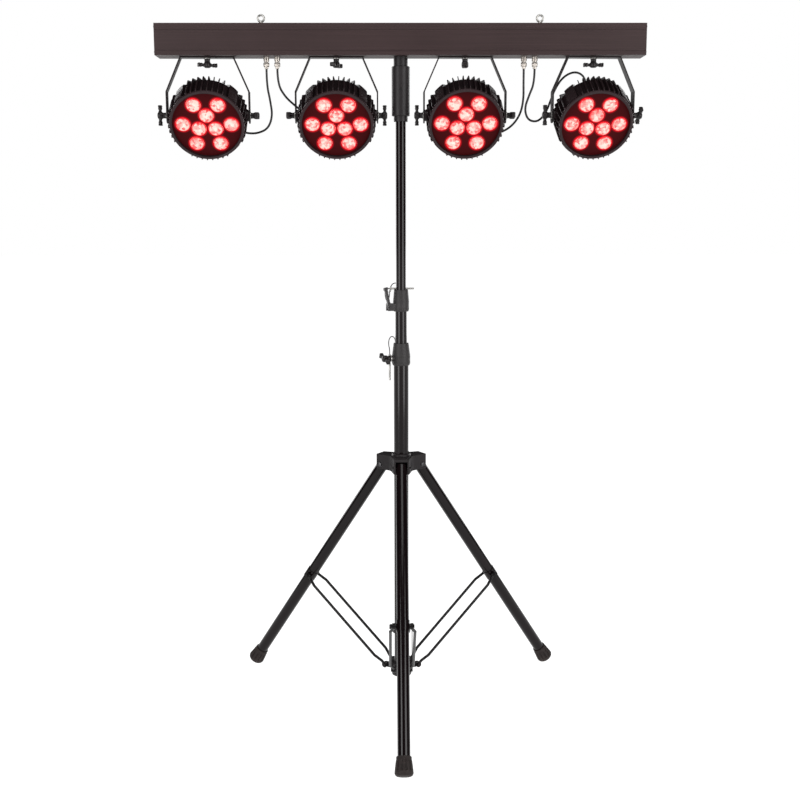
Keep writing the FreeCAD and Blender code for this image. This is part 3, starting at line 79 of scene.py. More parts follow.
MM = 0.001
PAN_AXES = [-0.444, -0.148, 0.148, 0.444]
TILT_HEIGHT = 1.415
CAN_AIM = [(2.0, 31.5), (1.0, 32.0), (1.0, 29.0), (3.4, 31.7)]
PAN_KNOB_TURN = [30, 68, 88, 4]
TILT_KNOB_TURN = [(0, 90), (90, 0), (0, 90), (0, 50)]
LENS_RINGS = [(3, 21.9 * MM, 90), (6, 54.9 * MM, 0)]
LENS_RADIUS = 16.3 * MM
BAR_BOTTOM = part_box("bar_housing")[0][2]
BAR_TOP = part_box("bar_housing")[1][2]
YOKE_SPAN = 95.8 * MM
LEG_DIRECTIONS = {"front": -90, "rear_left": 150, "rear_right": 30}
LEG_PIVOT = (48.9 * MM, 588 * MM)
LEG_ANGLE = 34.7335
FOOT_END, FOOT_MOUTH, FOOT_LENGTH, FOOT_CORNER = 21.5, 16.6, 42.0, 8.0
FOOT_SLOPE = (FOOT_END - FOOT_MOUTH) / FOOT_LENGTH
FOOT_CORNER_REACH = FOOT_END - FOOT_CORNER * (FOOT_SLOPE + math.hypot(1, FOOT_SLOPE))
HUB_KNOB = (90, 34 * MM, 599 * MM, 50)
LOWER_KNOB = (205, 28 * MM, 850 * MM, 75)
FOOT_SLOT_DEPTH = 2.2
LEAD_SPLITS = [0.5, 0.5, 0.5, 0.72]
LANYARD_DIAMETER = 2.2 * MM

CAMERA_LENS = 52.9
CAMERA_PLACE = (-31.07 * MM, -2792.0 * MM, 1194.7 * MM)
CAMERA_YAW, CAMERA_PITCH, CAMERA_ROLL = [math.degrees(a) for a in (0.0101, 0.1587, 0.0017)]
# Each soft box: its azimuth, distance, width, height, level and share of the power.
SOFT_BOXES = {
    "left": (-42, 3.4, 1.5, 2.8, 1.5, 1.0),
    "right": (45, 3.4, 1.9, 2.8, 1.5, 1.15),
    "top": (8, 1.6, 2.2, 1.6, 3.6, 0.45),
    "back_left": (-140, 3.2, 1.6, 2.4, 1.7, 0.5),
    "back_right": (140, 3.2, 1.6, 2.4, 1.7, 0.5),
}
SOFT_BOX_AIM = 0.95
BACKDROP_LIGHT = 0.03

CANS = range(4)


def turn(axis, degrees):
    return Matrix.Rotation(math.radians(degrees), 4, axis)


def shift(x=0.0, y=0.0, z=0.0):
    return Matrix.Translation((x, y, z))


def can_frame(can):
    """A can's own frame: the beam along +Z and its top along +Y."""
    pan, tilt = CAN_AIM[can]
    return shift(PAN_AXES[can], 0, TILT_HEIGHT) @ turn("Z", pan) @ turn("X", 90 + tilt)


def leg_frame(direction):
    """A leg's own frame: its pivot at the origin and its foot along -Z."""
    about = turn("Z", direction)
    return about @ shift(LEG_PIVOT[0], 0, LEG_PIVOT[1]) @ turn("Y", -LEG_ANGLE)


def foot_distance():
    """From a leg's pivot to its foot's end, so that the rounded corner meets the floor."""
    lean = math.radians(LEG_ANGLE)
    down = LEG_PIVOT[1] / MM - FOOT_CORNER - FOOT_CORNER_REACH * math.sin(lean)
    return (down / math.cos(lean) + FOOT_CORNER) * MM


def radial_frame(direction, reach, height, roll=0):
    """A frame on the mast whose +Z points outwards from its axis."""
    return turn("Z", direction) @ shift(reach, 0, height) @ turn("Y", 90) @ turn("Z", roll)


# ------------------------------------------------------------------ shader building

class Wire:
    """A shader value: arithmetic on it adds Math nodes."""

    def __init__(self, tree, socket):
        self.tree = tree
        self.socket = socket

    def math(self, operation, *others):
        node = self.tree.nodes.new("ShaderNodeMath")
        node.operation = operation
        for slot, value in zip(node.inputs, (self, *others)):
            if isinstance(value, Wire):
                self.tree.links.new(value.socket, slot)
            else:
                slot.default_value = value
        return Wire(self.tree, node.outputs[0])

    def __add__(self, other):
        return self.math("ADD", other)

    def __sub__(self, other):
        return self.math("SUBTRACT", other)

    def __mul__(self, other):
        return self.math("MULTIPLY", other)

    def __truediv__(self, other):
        return self.math("DIVIDE", other)

    def __pow__(self, other):
        return self.math("POWER", other)

    __radd__ = __add__
    __rmul__ = __mul__

    def __rsub__(self, other):
        return (self * -1.0).math("ADD", other)

    def __rtruediv__(self, other):
        return self.math("POWER", -1.0).math("MULTIPLY", other)

    def smaller(self, other):
        return self.math("MINIMUM", other)

    def larger(self, other):
        return self.math("MAXIMUM", other)

    def within(self, low=0.0, high=1.0):
        return self.larger(low).smaller(high)

    def rise(self, low, high):
        """0 below low and 1 above high, with a straight ramp between them."""
        return ((self - low) / (high - low)).within()


class Finish:
    """One material: a Principled shader and the nodes that feed it."""

    def __init__(self, name, **constants):
        self.material = bpy.data.materials.new(name)
        self.material.use_nodes = True
        self.tree = self.material.node_tree
        self.shader = self.tree.nodes["Principled BSDF"]
        for socket, value in constants.items():
            self.shader.inputs[socket.replace("_", " ")].default_value = value

    def node(self, kind, output, settings=None, sockets=None):
        """Adds a node, sets it up, fills its sockets, and gives one of its outputs."""
        node = self.tree.nodes.new(kind)
        for key, value in (settings or {}).items():
            setattr(node, key, value)
        for key, value in (sockets or {}).items():
            slot = next(s for s in node.inputs if key in (s.identifier, s.name))
            if isinstance(value, Wire):
                self.tree.links.new(value.socket, slot)
            else:
                slot.default_value = value
        found = next(s for s in node.outputs if output in (s.identifier, s.name))
        return Wire(self.tree, found)

    def place(self):
        return self.node("ShaderNodeTexCoord", "Object")

    def local(self, matrix):
        """Object coordinates turned into a piece's own frame."""
        spot, spin, _ = matrix.decompose()
        return self.node(
            "ShaderNodeMapping", "Vector", {"vector_type": "TEXTURE"},
            {"Vector": self.place(), "Location": spot, "Rotation": spin.to_euler()})

    def stretched(self, x, y, z):
        return self.node("ShaderNodeMapping", "Vector", {},
                         {"Vector": self.place(), "Scale": (x, y, z)})

    def axes(self, vector):
        return [self.node("ShaderNodeSeparateXYZ", axis, {}, {"Vector": vector})
                for axis in "XYZ"]

    def noise(self, scale, detail=3.0, vector=None, roughness=0.5):
        return self.node("ShaderNodeTexNoise", "Fac", {"normalize": True},
                         {"Vector": vector or self.place(), "Scale": scale, "Detail": detail,
                          "Roughness": roughness})

    def cells(self, scale, output="Distance"):
        return self.node("ShaderNodeTexVoronoi", output, {"feature": "F1"},
                         {"Vector": self.place(), "Scale": scale})

    def mix(self, factor, first, second):
        return self.node("ShaderNodeMix", "Result_Color", {"data_type": "RGBA"},
                         {"Factor_Float": factor, "A_Color": rgba(first),
                          "B_Color": rgba(second)})

    def feed(self, socket, value):
        self.tree.links.new(value.socket, self.shader.inputs[socket])
        return self

    def bump(self, height, strength, distance):
        normal = self.node("ShaderNodeBump", "Normal", {},
                           {"Height": height, "Strength": strength, "Distance": distance})
        return self.feed("Normal", normal)


def rgba(colour):
    if isinstance(colour, Wire):
        return colour
    return (*colour[:3], 1.0)


def scaled(colour, amount):
    return tuple(min(1.0, part * amount) for part in colour[:3])


FINISHES = {}


def finish(name):
    """The material of that name, made once."""
    if name not in FINISHES:
        FINISHES[name] = MAKERS[name]()
    return FINISHES[name]


def powder_coat(name, colour, rough=0.42, grain=1500.0, depth=0.05):
    """Baked powder: a fine orange-peel grain, slight clouding and a few dry scuffs."""
    made = Finish(name, Specular_IOR_Level=0.16)
    peel = made.noise(grain, 2.0)
    cloud = made.noise(9.0, 4.0)
    scuffs = made.noise(55.0, 6.0, roughness=0.7).rise(0.62, 0.78)
    speck = made.noise(grain * 0.6, 1.0).rise(0.55, 0.75)
    tone = made.mix(cloud, scaled(colour, 0.72), scaled(colour, 1.3))
    tone = made.mix(speck * 0.35, tone, scaled(colour, 2.3))
    made.feed("Base Color", made.mix(scuffs * 0.3, tone, scaled(colour, 2.8)))
    made.feed("Roughness", (rough + cloud * 0.12 + scuffs * 0.12 - 0.06).within(0.1, 0.9))
    made.bump(peel, depth * 4, 0.0002)
    return made.material


def extruded_coat():
    """The bar's coating: powder over an extrusion, so that faint draw lines run along it."""
    colour = settings().stand.bar_colour
    made = Finish("bar coat", Specular_IOR_Level=0.14)
    lines = made.noise(1.0, 3.0, made.stretched(4.0, 900.0, 900.0))
    grain = made.noise(1300.0, 2.0)
    cloud = made.noise(5.0, 4.0)
    tone = made.mix(cloud, scaled(colour, 0.75), scaled(colour, 1.3))
    tone = made.mix(lines.rise(0.45, 0.8) * 0.5, tone, scaled(colour, 1.9))
    made.feed("Base Color", tone)
    made.feed("Roughness", 0.36 + grain * 0.16 + cloud * 0.06)
    made.bump(lines * 0.6 + grain * 0.5, 0.25, 0.0002)
    return made.material


def tube_enamel():
    """Glossy stove enamel on steel tube, with faint rings where the tubes slide."""
    colour = settings().stand.tube_colour
    made = Finish("tube enamel", Specular_IOR_Level=0.2)
    ripple = made.noise(40.0, 2.0)
    rubbed = made.noise(1.0, 4.0, made.stretched(60.0, 60.0, 5.0)).rise(0.6, 0.8)
    dust = made.noise(700.0, 3.0).rise(0.6, 0.8)
    made.feed("Base Color", made.mix(rubbed * 0.4 + dust * 0.15, colour, scaled(colour, 2.6)))
    made.feed("Roughness", (0.1 + rubbed * 0.05 + dust * 0.04 + ripple * 0.03).within())
    made.bump(ripple, 0.03, 0.0003)
    return made.material


def moulded_plastic(name, colour, rough, sparkle):
    """Moulded nylon: a spark-eroded texture with rubbed high spots."""
    made = Finish(name, Specular_IOR_Level=0.2)
    pits = made.cells(950.0)
    grain = made.noise(1700.0, 3.0)
    cloud = made.noise(30.0, 4.0)
    tone = made.mix(cloud, scaled(colour, 0.7), scaled(colour, 1.35))
    made.feed("Base Color", made.mix(grain.rise(0.55, 0.8) * sparkle, tone,
                                     scaled(colour, 3.4)))
    made.feed("Roughness", (rough + grain * 0.14 - cloud * 0.1).within(0.1, 0.9))
    made.bump(pits + grain * 0.6, 0.3, 0.00025)
    return made.material


def plated(name, colour, rough):
    """Zinc or nickel plate: fine brushing, faint stains and handling marks."""
    made = Finish(name, Metallic=1.0)
    brushed = made.noise(1.0, 3.0, made.stretched(300.0, 300.0, 2500.0))
    stain = made.noise(120.0, 4.0)
    tone = made.mix(stain.rise(0.35, 0.75), colour, scaled(colour, 0.55))
    made.feed("Base Color", tone)
    made.feed("Roughness", (rough + brushed * 0.18 + stain * 0.1).within(0.05, 0.9))
    made.bump(brushed, 0.12, 0.0001)
    return made.material


def foot_rubber():
    """Moulded rubber: matt, brown-black, with dust in the grain and scuffs near the floor."""
    colour = settings().stand.rubber_colour
    made = Finish("foot rubber", Specular_IOR_Level=0.2)
    height = made.axes(made.place())[2]
    dust = made.noise(380.0, 5.0).rise(0.5, 0.8)
    low = 1.0 - height.rise(0.0, 0.02)
    tone = made.mix(made.noise(60.0, 4.0), scaled(colour, 0.65), scaled(colour, 1.4))
    made.feed("Base Color", made.mix((dust * 0.45 + low * 0.35).within(), tone,
                                     (0.055, 0.042, 0.038)))
    made.feed("Roughness", (0.6 + dust * 0.25).within())
    made.bump(made.noise(1400.0, 3.0), 0.3, 0.0003)
    return made.material


def cable_jacket():
    """A soft black cable jacket with a little bloom and long drag marks."""
    made = Finish("cable jacket", Specular_IOR_Level=0.3)
    bloom = made.noise(90.0, 4.0)
    grain = made.noise(2200.0, 2.0)
    made.feed("Base Color", made.mix(bloom.rise(0.4, 0.8), (0.004, 0.0035, 0.004),
                                     (0.014, 0.012, 0.013)))
    made.feed("Roughness", (0.38 + bloom * 0.2).within())
    made.bump(grain, 0.15, 0.0002)
    return made.material


def woven_lanyard():
    """Braided cord: small diagonal plaits, with painted shade: dark in the grooves and lighter on
    the raised plaits.
    """
    made = Finish("woven lanyard", Specular_IOR_Level=0.3)
    x, y, z = made.axes(made.place())
    plait_and_painted_shade = ((z * 2600.0 + x * 1500.0).math("SINE") * (z * 2600.0 - y * 1500.0).math("SINE"))
    height = plait_and_painted_shade * 0.5 + 0.5
    # Painted shade: the base colour follows the plaits' height, darkest in the grooves between
    # them.
    made.feed("Base Color", made.mix(height, (0.004, 0.004, 0.005), (0.05, 0.047, 0.05)))
    made.feed("Roughness", 0.65 + height * 0.2)
    made.bump(height, 0.5, 0.0003)
    return made.material


def ring_distance(x, y, count, reach, first_angle):
    """How far a point is from the nearest of a ring of lens centres."""
    period = math.tau / count
    angle = y.math("ARCTAN2", x)
    fold = ((angle - math.radians(first_angle)) / period + 0.5).math("FRACT") - 0.5
    radius_squared = x * x + y * y
    radius = radius_squared ** 0.5
    across = (fold * period).math("COSINE") * radius * (2 * reach)
    return (radius_squared + reach * reach - across).larger(0.0) ** 0.5


def glow_painted_face_plate(can):
    """A dark plate with painted light from the lenses: a red glow painted as emission, brightest
    at each lens's edge and stronger towards the middle.
    """
    glow = settings().cans
    made = Finish(f"face plate {can + 1}", Specular_IOR_Level=0.04,
                  Emission_Strength=glow.painted_face_glow)
    x, y, _ = made.axes(made.local(can_frame(can)))
    rings = [ring_distance(x, y, *ring) for ring in LENS_RINGS]
    distance = rings[0].smaller(rings[1])
    # Painted light: a red halo painted round each lens and a red glow that grows towards the
    # middle, emitted by the plate itself.
    near = (1.0 - (distance - LENS_RADIUS) / (5.5 * MM)).within() ** 1.6
    middle = 1.0 - (x * x + y * y) ** 0.5 / (100 * MM)
    mottle = made.noise(420.0, 4.0)
    painted_spill_glow = made.mix(middle.within(), (0.012, 0.0, 0.0004), (0.085, 0.0, 0.0012))
    painted_spill_glow = made.mix(mottle.rise(0.35, 0.75) * 0.3, painted_spill_glow, (0.03, 0.0, 0.0005))
    made.feed("Emission Color", made.mix(near, painted_spill_glow, glow.glow_colour))
    made.feed("Base Color", made.mix(mottle, (0.006, 0.0008, 0.001), (0.014, 0.0016, 0.002)))
    made.feed("Roughness", 0.42 + mottle * 0.2)
    made.bump(made.noise(1600.0, 2.0), 0.15, 0.0002)
    return made.material


def lit_lens():
    """A pebbled lens over a lit LED: white-pink cells, deep red towards the rim."""
    glow = settings().cans
    made = Finish("lit lens", Specular_IOR_Level=0.5, Roughness=0.12,
                  Emission_Strength=glow.lens_glow)
    rim = made.node("ShaderNodeAttribute", "Fac", {"attribute_name": "rim"})
    cell = made.cells(175.0, "Color")
    level = made.axes(cell)[0]
    fine = made.noise(520.0, 2.0)
    pebble = made.mix((level * 0.8 + fine * 0.4).rise(0.3, 0.75), (0.85, 0.045, 0.04),
                      glow.lens_colour)
    hot = made.mix((1.0 - rim).rise(0.55, 0.95) * 0.4, pebble, (1.0, 0.86, 0.7))
    made.feed("Emission Color", made.mix(rim.rise(0.82, 0.98), hot, glow.glow_colour))
    made.feed("Base Color", made.mix(rim, (0.5, 0.12, 0.12), (0.2, 0.01, 0.01)))
    made.bump(made.cells(175.0), 0.5, 0.0012)
    return made.material


def circuit_board():
    made = Finish("circuit board", Specular_IOR_Level=0.5)
    tracks = made.cells(260.0)
    made.feed("Base Color", made.mix(tracks.rise(0.45, 0.5), (0.012, 0.1, 0.03),
                                     (0.03, 0.2, 0.06)))
    made.feed("Roughness", 0.3 + made.noise(200.0) * 0.2)
    return made.material


def display_glass():
    made = Finish("display glass", Specular_IOR_Level=0.6)
    smear = made.noise(80.0, 4.0)
    made.feed("Base Color", made.mix(smear, (0.004, 0.004, 0.006), (0.015, 0.012, 0.014)))
    made.feed("Roughness", 0.06 + smear * 0.15)
    return made.material


def display_digits():
    made = Finish("display digits", Emission_Strength=0.9)
    speck = made.noise(900.0)
    made.feed("Emission Color", made.mix(speck, (0.75, 0.02, 0.02), (1.0, 0.06, 0.04)))
    made.feed("Base Color", made.mix(speck, (0.2, 0.01, 0.01), (0.3, 0.02, 0.02)))
    return made.material


def pale_floor():
    tint = settings().stage.floor_colour
    made = Finish("pale floor", Roughness=0.9, Specular_IOR_Level=0.1,
                  Emission_Strength=settings().stage.floor_glow)
    patch = made.noise(1.5, 3.0)
    made.feed("Base Color", made.mix(patch, scaled(tint, 0.24), scaled(tint, 0.26)))
    made.feed("Emission Color", made.mix(patch, scaled(tint, 0.99), tint))
    return made.material


def shared_makers(maker, rows):
    """A maker for each row: a finish's name and what its maker is called with."""
    return {name: lambda name=name, row=row: maker(name, *row) for name, *row in rows}


MAKERS = {
    "bar coat": extruded_coat,
    "tube enamel": tube_enamel,
    "can coat": lambda: powder_coat("can coat", settings().cans.body_colour, 0.4),
    "foot rubber": foot_rubber,
    "cable jacket": cable_jacket,
    "woven lanyard": woven_lanyard,
    "lit lens": lit_lens,
    "circuit board": circuit_board,
    "display glass": display_glass,
    "display digits": display_digits,
    "pale floor": pale_floor,
    **shared_makers(powder_coat, [
        ("rim coat", (0.017, 0.0095, 0.0108), 0.34),
        ("yoke coat", (0.011, 0.0085, 0.009), 0.36),
        ("cast coat", (0.011, 0.0092, 0.0098), 0.42, 800.0, 0.09),
        ("panel coat", (0.013, 0.012, 0.013), 0.5),
        ("rod coat", (0.004, 0.0034, 0.0036), 0.34, 600.0, 0.03),
    ]),
    **shared_makers(moulded_plastic, [
        ("collar plastic", (0.019, 0.0175, 0.0178), 0.5, 0.3),
        ("knob plastic", (0.0085, 0.0068, 0.0072), 0.36, 0.2),
        ("socket plastic", (0.008, 0.008, 0.009), 0.4, 0.1),
    ]),
    **shared_makers(plated, [
        ("zinc plate", (0.42, 0.41, 0.39), 0.24),
        ("nickel plate", (0.36, 0.33, 0.30), 0.2),
        ("black bolt", (0.06, 0.058, 0.06), 0.3),
        ("bare sheet", (0.6, 0.6, 0.6), 0.35),
    ]),
}


# ------------------------------------------------------------------ pieces

def coat_nodes(names, coat):
    """Gives CAD nodes a finish, by its name or as a material."""
    for node in names:
        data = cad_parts[node].data
        data.materials.clear()
        data.materials.append(finish(coat) if isinstance(coat, str) else coat)


def put(mesh, shape, matrix=Matrix()):
    """Moves a shape into place and adds it to a mesh, which uses the shape up."""
    bmesh.ops.transform(shape, matrix=matrix, verts=shape.verts)
    holder = bpy.data.meshes.new("holder")
    shape.to_mesh(holder)
    shape.free()
    mesh.from_mesh(holder)
    bpy.data.meshes.remove(holder)


def lathe(profile, steps=48, closed=False):
    """Turns a profile of (radius, height) points, in millimetres, about Z."""
    shape = bmesh.new()
    points = [shape.verts.new((radius * MM, 0, height * MM)) for radius, height in profile]
    lines = [shape.edges.new(pair) for pair in zip(points, points[1:])]
    if closed:
        lines.append(shape.edges.new((points[-1], points[0])))
    bmesh.ops.spin(shape, geom=points + lines, cent=(0, 0, 0), axis=(0, 0, 1),
                   angle=math.tau, steps=steps, use_merge=True, use_duplicate=False)
    bmesh.ops.remove_doubles(shape, verts=shape.verts, dist=1e-6)
    return shape


def block(size, bevel=0.0, segments=2):
    """A box in millimetres, centred on its frame, with its edges rounded."""
    shape = bmesh.new()
    bmesh.ops.create_cube(shape, size=MM)
    bmesh.ops.scale(shape, vec=size, verts=shape.verts)
    if bevel:
        bmesh.ops.bevel(shape, geom=shape.edges[:], offset=bevel * MM, affect="EDGES",
                        segments=segments, profile=0.5, material=-1)
    return shape


def hexagon(width, height):
    """A hexagon nut or head standing on its frame's XY plane, with a chamfered top."""
    shape = bmesh.new()
    radius = width / math.sqrt(3) * MM
    bmesh.ops.create_cone(shape, cap_ends=True, segments=6, radius1=radius, radius2=radius,
                          depth=height * MM)
    bmesh.ops.translate(shape, vec=(0, 0, height / 2 * MM), verts=shape.verts)
    top = [edge for edge in shape.edges if all(v.co.z > height / 2 * MM for v in edge.verts)]
    bmesh.ops.bevel(shape, geom=top, offset=height * 0.14 * MM, affect="EDGES", segments=2,
                    profile=0.5, material=-1)
    return shape


def piece(name, mesh, coat, body, smooth=35):
    """Turns a bmesh into a finished piece that rides on a body."""
    bmesh.ops.remove_doubles(mesh, verts=mesh.verts, dist=1e-6)
    bmesh.ops.recalc_face_normals(mesh, faces=mesh.faces)
    for face in mesh.faces:
        face.smooth = True
    for edge in mesh.edges:
        edge.smooth = edge.calc_face_angle(0.0) < math.radians(smooth)
    data = bpy.data.meshes.new(name)
    mesh.to_mesh(data)
    mesh.free()
    data.materials.append(finish(coat) if isinstance(coat, str) else coat)
    made = bpy.data.objects.new(name, data)
    bpy.context.scene.collection.objects.link(made)
    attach(made, body)
    return made


def screw_heads(mesh, radius, height, places):
    """Pan-head screws with a raised cross; each place is a frame whose +Z leaves the surface."""
    profile = [(0, height), (radius * 0.45, height), (radius * 0.85, height * 0.72),
               (radius, height * 0.3), (radius, 0), (0, 0)]
    for place in places:
        put(mesh, lathe(profile, 20), place)
        for angle in (45, 135):
            put(mesh, block((radius * 1.1, radius * 0.24, height * 0.3)),
                place @ shift(0, 0, height * 0.93 * MM) @ turn("Z", angle))


# ------------------------------------------------------------------ leads and lanyards

LEAD_ROUTES = [
    [(-308.5, 0, 1519.4), (-308.5, 0, 1483.6), (-301.9, 7.8, 1449), (-298.4, 19.4, 1415.5),
     (-311, 36.6, 1387.7), (-339.3, 55.6, 1377.9), (-368.2, 76.3, 1380.4), (-393.4, 99.8, 1389.9),
     (-415.2, 122.1, 1406.9), (-435.1, 122, 1435), (-447.2, 92.9, 1448.5), (-446.2, 62.4, 1429.8)],
    [(-283.5, 0, 1519.4), (-283.5, 0, 1486.4), (-268.8, 16.6, 1459.7), (-248.6, 35.6, 1441.8),
     (-229.3, 58.2, 1427.2), (-213.6, 85.4, 1417.6), (-196.2, 111.9, 1423.9),
     (-170.4, 114.2, 1442.9), (-149.6, 90.3, 1447.9), (-149.1, 62.3, 1430.4)],
    [(283.5, 0, 1519.4), (283.5, 0, 1485.5), (285, 7.3, 1452.2), (279.8, 17.2, 1420.4),
     (263.1, 30.7, 1394.5), (239.3, 49.5, 1380), (216.1, 73.7, 1377.1), (196.6, 100.5, 1383.5),
     (177.4, 120, 1402.5), (159.4, 120.1, 1430.6), (146.4, 92.6, 1443.5), (146.9, 63, 1427.1)],
    [(308.5, 0, 1519.4), (308.5, 0, 1487.7), (295.5, -8.2, 1458.5), (285.1, -11, 1428.9),
     (295.1, 3.5, 1404), (321.2, 19, 1401.4), (340.8, 27.1, 1424.1), (351.7, 31.9, 1453.6),
     (363.7, 36.9, 1482.6), (382.3, 44.3, 1507.1), (407.3, 58.4, 1519.8), (430.8, 79.1, 1517.1),
     (445.3, 101.7, 1500.9), (443.8, 107.9, 1471.8), (438.7, 89.3, 1446.7), (440.3, 62.3, 1430)],
]
LOWER_LANYARD_ROUTE = [
    (-13.65, 8.2, 885.6), (-13.65, 8.2, 892.5), (-17.2, 10.2, 899), (-23, 13, 900.5),
    (-27.8, 15.2, 895.5), (-29.8, 15.2, 887.5), (-29.6, 13.6, 879), (-27.95, 10.2, 871.5),
    (-27.25, 8.33, 864), (-27.25, 8.33, 857.1),
]
UPPER_LANYARD_ROUTE = [
    (-10.25, 6.33, 1028), (-16.5, 10.19, 1028), (-22.5, 15, 1023), (-26, 19.5, 1013),
    (-27, 22, 1001.5), (-28.5, 20, 990.5), (-31, 13.5, 984), (-34, 6, 985.5), (-36.8, 1.5, 993.5),
    (-38, 0, 1002), (-37.4, 0, 1009.8), (-33.4, 0, 1015.3), (-26.6, 0, 1015.3),
]


def smooth_curve(name, route):
    """An open NURBS spline with the route's points as its control points."""
    data = bpy.data.curves.new(name, "CURVE")
    data.dimensions = "3D"
    data.resolution_u = 12
    spline = data.splines.new("NURBS")
    spline.points.add(len(route) - 1)
    for point, spot in zip(spline.points, route):
        point.co = (*[part * MM for part in spot], 1.0)
    spline.order_u = 3
    spline.use_endpoint_u = True
    made = bpy.data.objects.new(name, data)
    bpy.context.scene.collection.objects.link(made)
    return made


def line_of(curve):
    """The points along a curve's own line."""
    bpy.context.view_layer.update()
    evaluated = curve.evaluated_get(bpy.context.evaluated_depsgraph_get())
    mesh = bpy.data.meshes.new_from_object(evaluated)
    points = [vertex.co.copy() for vertex in mesh.vertices]
    bpy.data.meshes.remove(mesh)
    bpy.data.objects.remove(curve)
    return points


def length_of(points):
    return sum((b - a).length for a, b in zip(points, points[1:]))


def tube_along(name, points, radius, coat):
    """A round tube mesh that follows the points."""
    data = bpy.data.curves.new(name, "CURVE")
    data.dimensions = "3D"
    spline = data.splines.new("POLY")
    spline.points.add(len(points) - 1)
    for point, spot in zip(spline.points, points):
        point.co = (*spot, 1.0)
    data.bevel_depth = radius
    data.bevel_resolution = 4
    data.use_fill_caps = True
    guide = bpy.data.objects.new(name + "_guide", data)
    bpy.context.scene.collection.objects.link(guide)
    bpy.context.view_layer.update()
    evaluated = guide.evaluated_get(bpy.context.evaluated_depsgraph_get())
    mesh = bpy.data.meshes.new_from_object(evaluated)
    bpy.data.objects.remove(guide)
    tidy = bmesh.new()
    tidy.from_mesh(mesh)
    bmesh.ops.remove_doubles(tidy, verts=tidy.verts, dist=1e-6)
    bmesh.ops.recalc_face_normals(tidy, faces=tidy.faces)
    for face in tidy.faces:
        face.smooth = True
    for edge in tidy.edges:
        edge.smooth = edge.calc_face_angle(0.0) < math.radians(50)
    tidy.to_mesh(mesh)
    tidy.free()
    mesh.name = name
    mesh.materials.clear()
    mesh.materials.append(finish(coat))
    made = bpy.data.objects.new(name, mesh)
    bpy.context.scene.collection.objects.link(made)
    return made


def lead_halves(points, share):
    """Splits a line where that share of its length is behind it."""
    goal, gone = length_of(points) * share, 0.0
    for number, (a, b) in enumerate(zip(points, points[1:]), start=1):
        gone += (b - a).length
        if gone >= goal:
            return points[: number + 1], points[number:]
    return points, points[-2:]


# ------------------------------------------------------------------ settings

def colour_setting(name, description, default):
    return FloatVectorProperty(name=name, description=description, subtype="COLOR", size=3,
                               min=0, max=1, default=default)


class ParCanCans(bpy.types.PropertyGroup):
    body_colour: colour_setting(
        "Housing colour", "Powder coat of the can housings", (0.0105, 0.006, 0.0068))
    glow_colour: colour_setting(
        "Glow colour", "Colour that the cans are lit in", (1.0, 0.004, 0.018))
    lens_colour: colour_setting(
        "Lens highlight", "Brightest cells of a lit lens", (1.0, 0.66, 0.57))
    lens_glow: FloatProperty(
        name="Lens glow", description="Emission strength of the lenses", min=0, max=20,
        default=1.0)
    # Strength of the glow painted on the plate round the lenses: painted light from the lenses,
    # not a lamp.
    painted_face_glow: FloatProperty(
        name="Face glow", description="Emission strength of the plate around the lenses",
        min=0, max=20, default=0.9)


class ParCanStand(bpy.types.PropertyGroup):
    bar_colour: colour_setting(
        "Bar colour", "Coating of the light bar", (0.0225, 0.0135, 0.0137))
    tube_colour: colour_setting(
        "Tube colour", "Enamel of the mast and the legs", (0.0034, 0.0018, 0.0021))
    rubber_colour: colour_setting(
        "Rubber colour", "Rubber of the feet", (0.0125, 0.0085, 0.0078))
    foot_slots: IntProperty(
        name="Foot slots", description="Upright slots round each rubber foot", min=6, max=24,
        default=12)
    lead_diameter: FloatProperty(
        name="Lead diameter", description="Outer diameter of the can leads",
        subtype="DISTANCE", unit="LENGTH", min=0.004, max=0.006, default=0.005)


class ParCanStage(bpy.types.PropertyGroup):
    floor_colour: colour_setting(
        "Floor colour", "Colour of the plain floor", (0.97, 0.97, 0.97))
    floor_glow: FloatProperty(
        name="Floor lift", description="Light added to the floor so that it stays pale",
        min=0, max=2, default=1.05)
    soft_box_power: FloatProperty(
        name="Soft box power", description="Power of each soft box", min=0, max=1000,
        unit="POWER", default=95.0)
    background: EnumProperty(
        name="Background", description="Backdrop behind the floor",
        items=[("WHITE", "White", "A white studio"), ("GREY", "Grey", "A grey studio")],
        default="WHITE")


class ParCanSettings(bpy.types.PropertyGroup):
    cans: PointerProperty(type=ParCanCans, name="Cans", description="Look of the cans")
    stand: PointerProperty(type=ParCanStand, name="Stand", description="Look of the stand")
    stage: PointerProperty(type=ParCanStage, name="Stage", description="Floor and lights")


def settings():
    return bpy.context.scene.par_can_light


# ------------------------------------------------------------------ operators

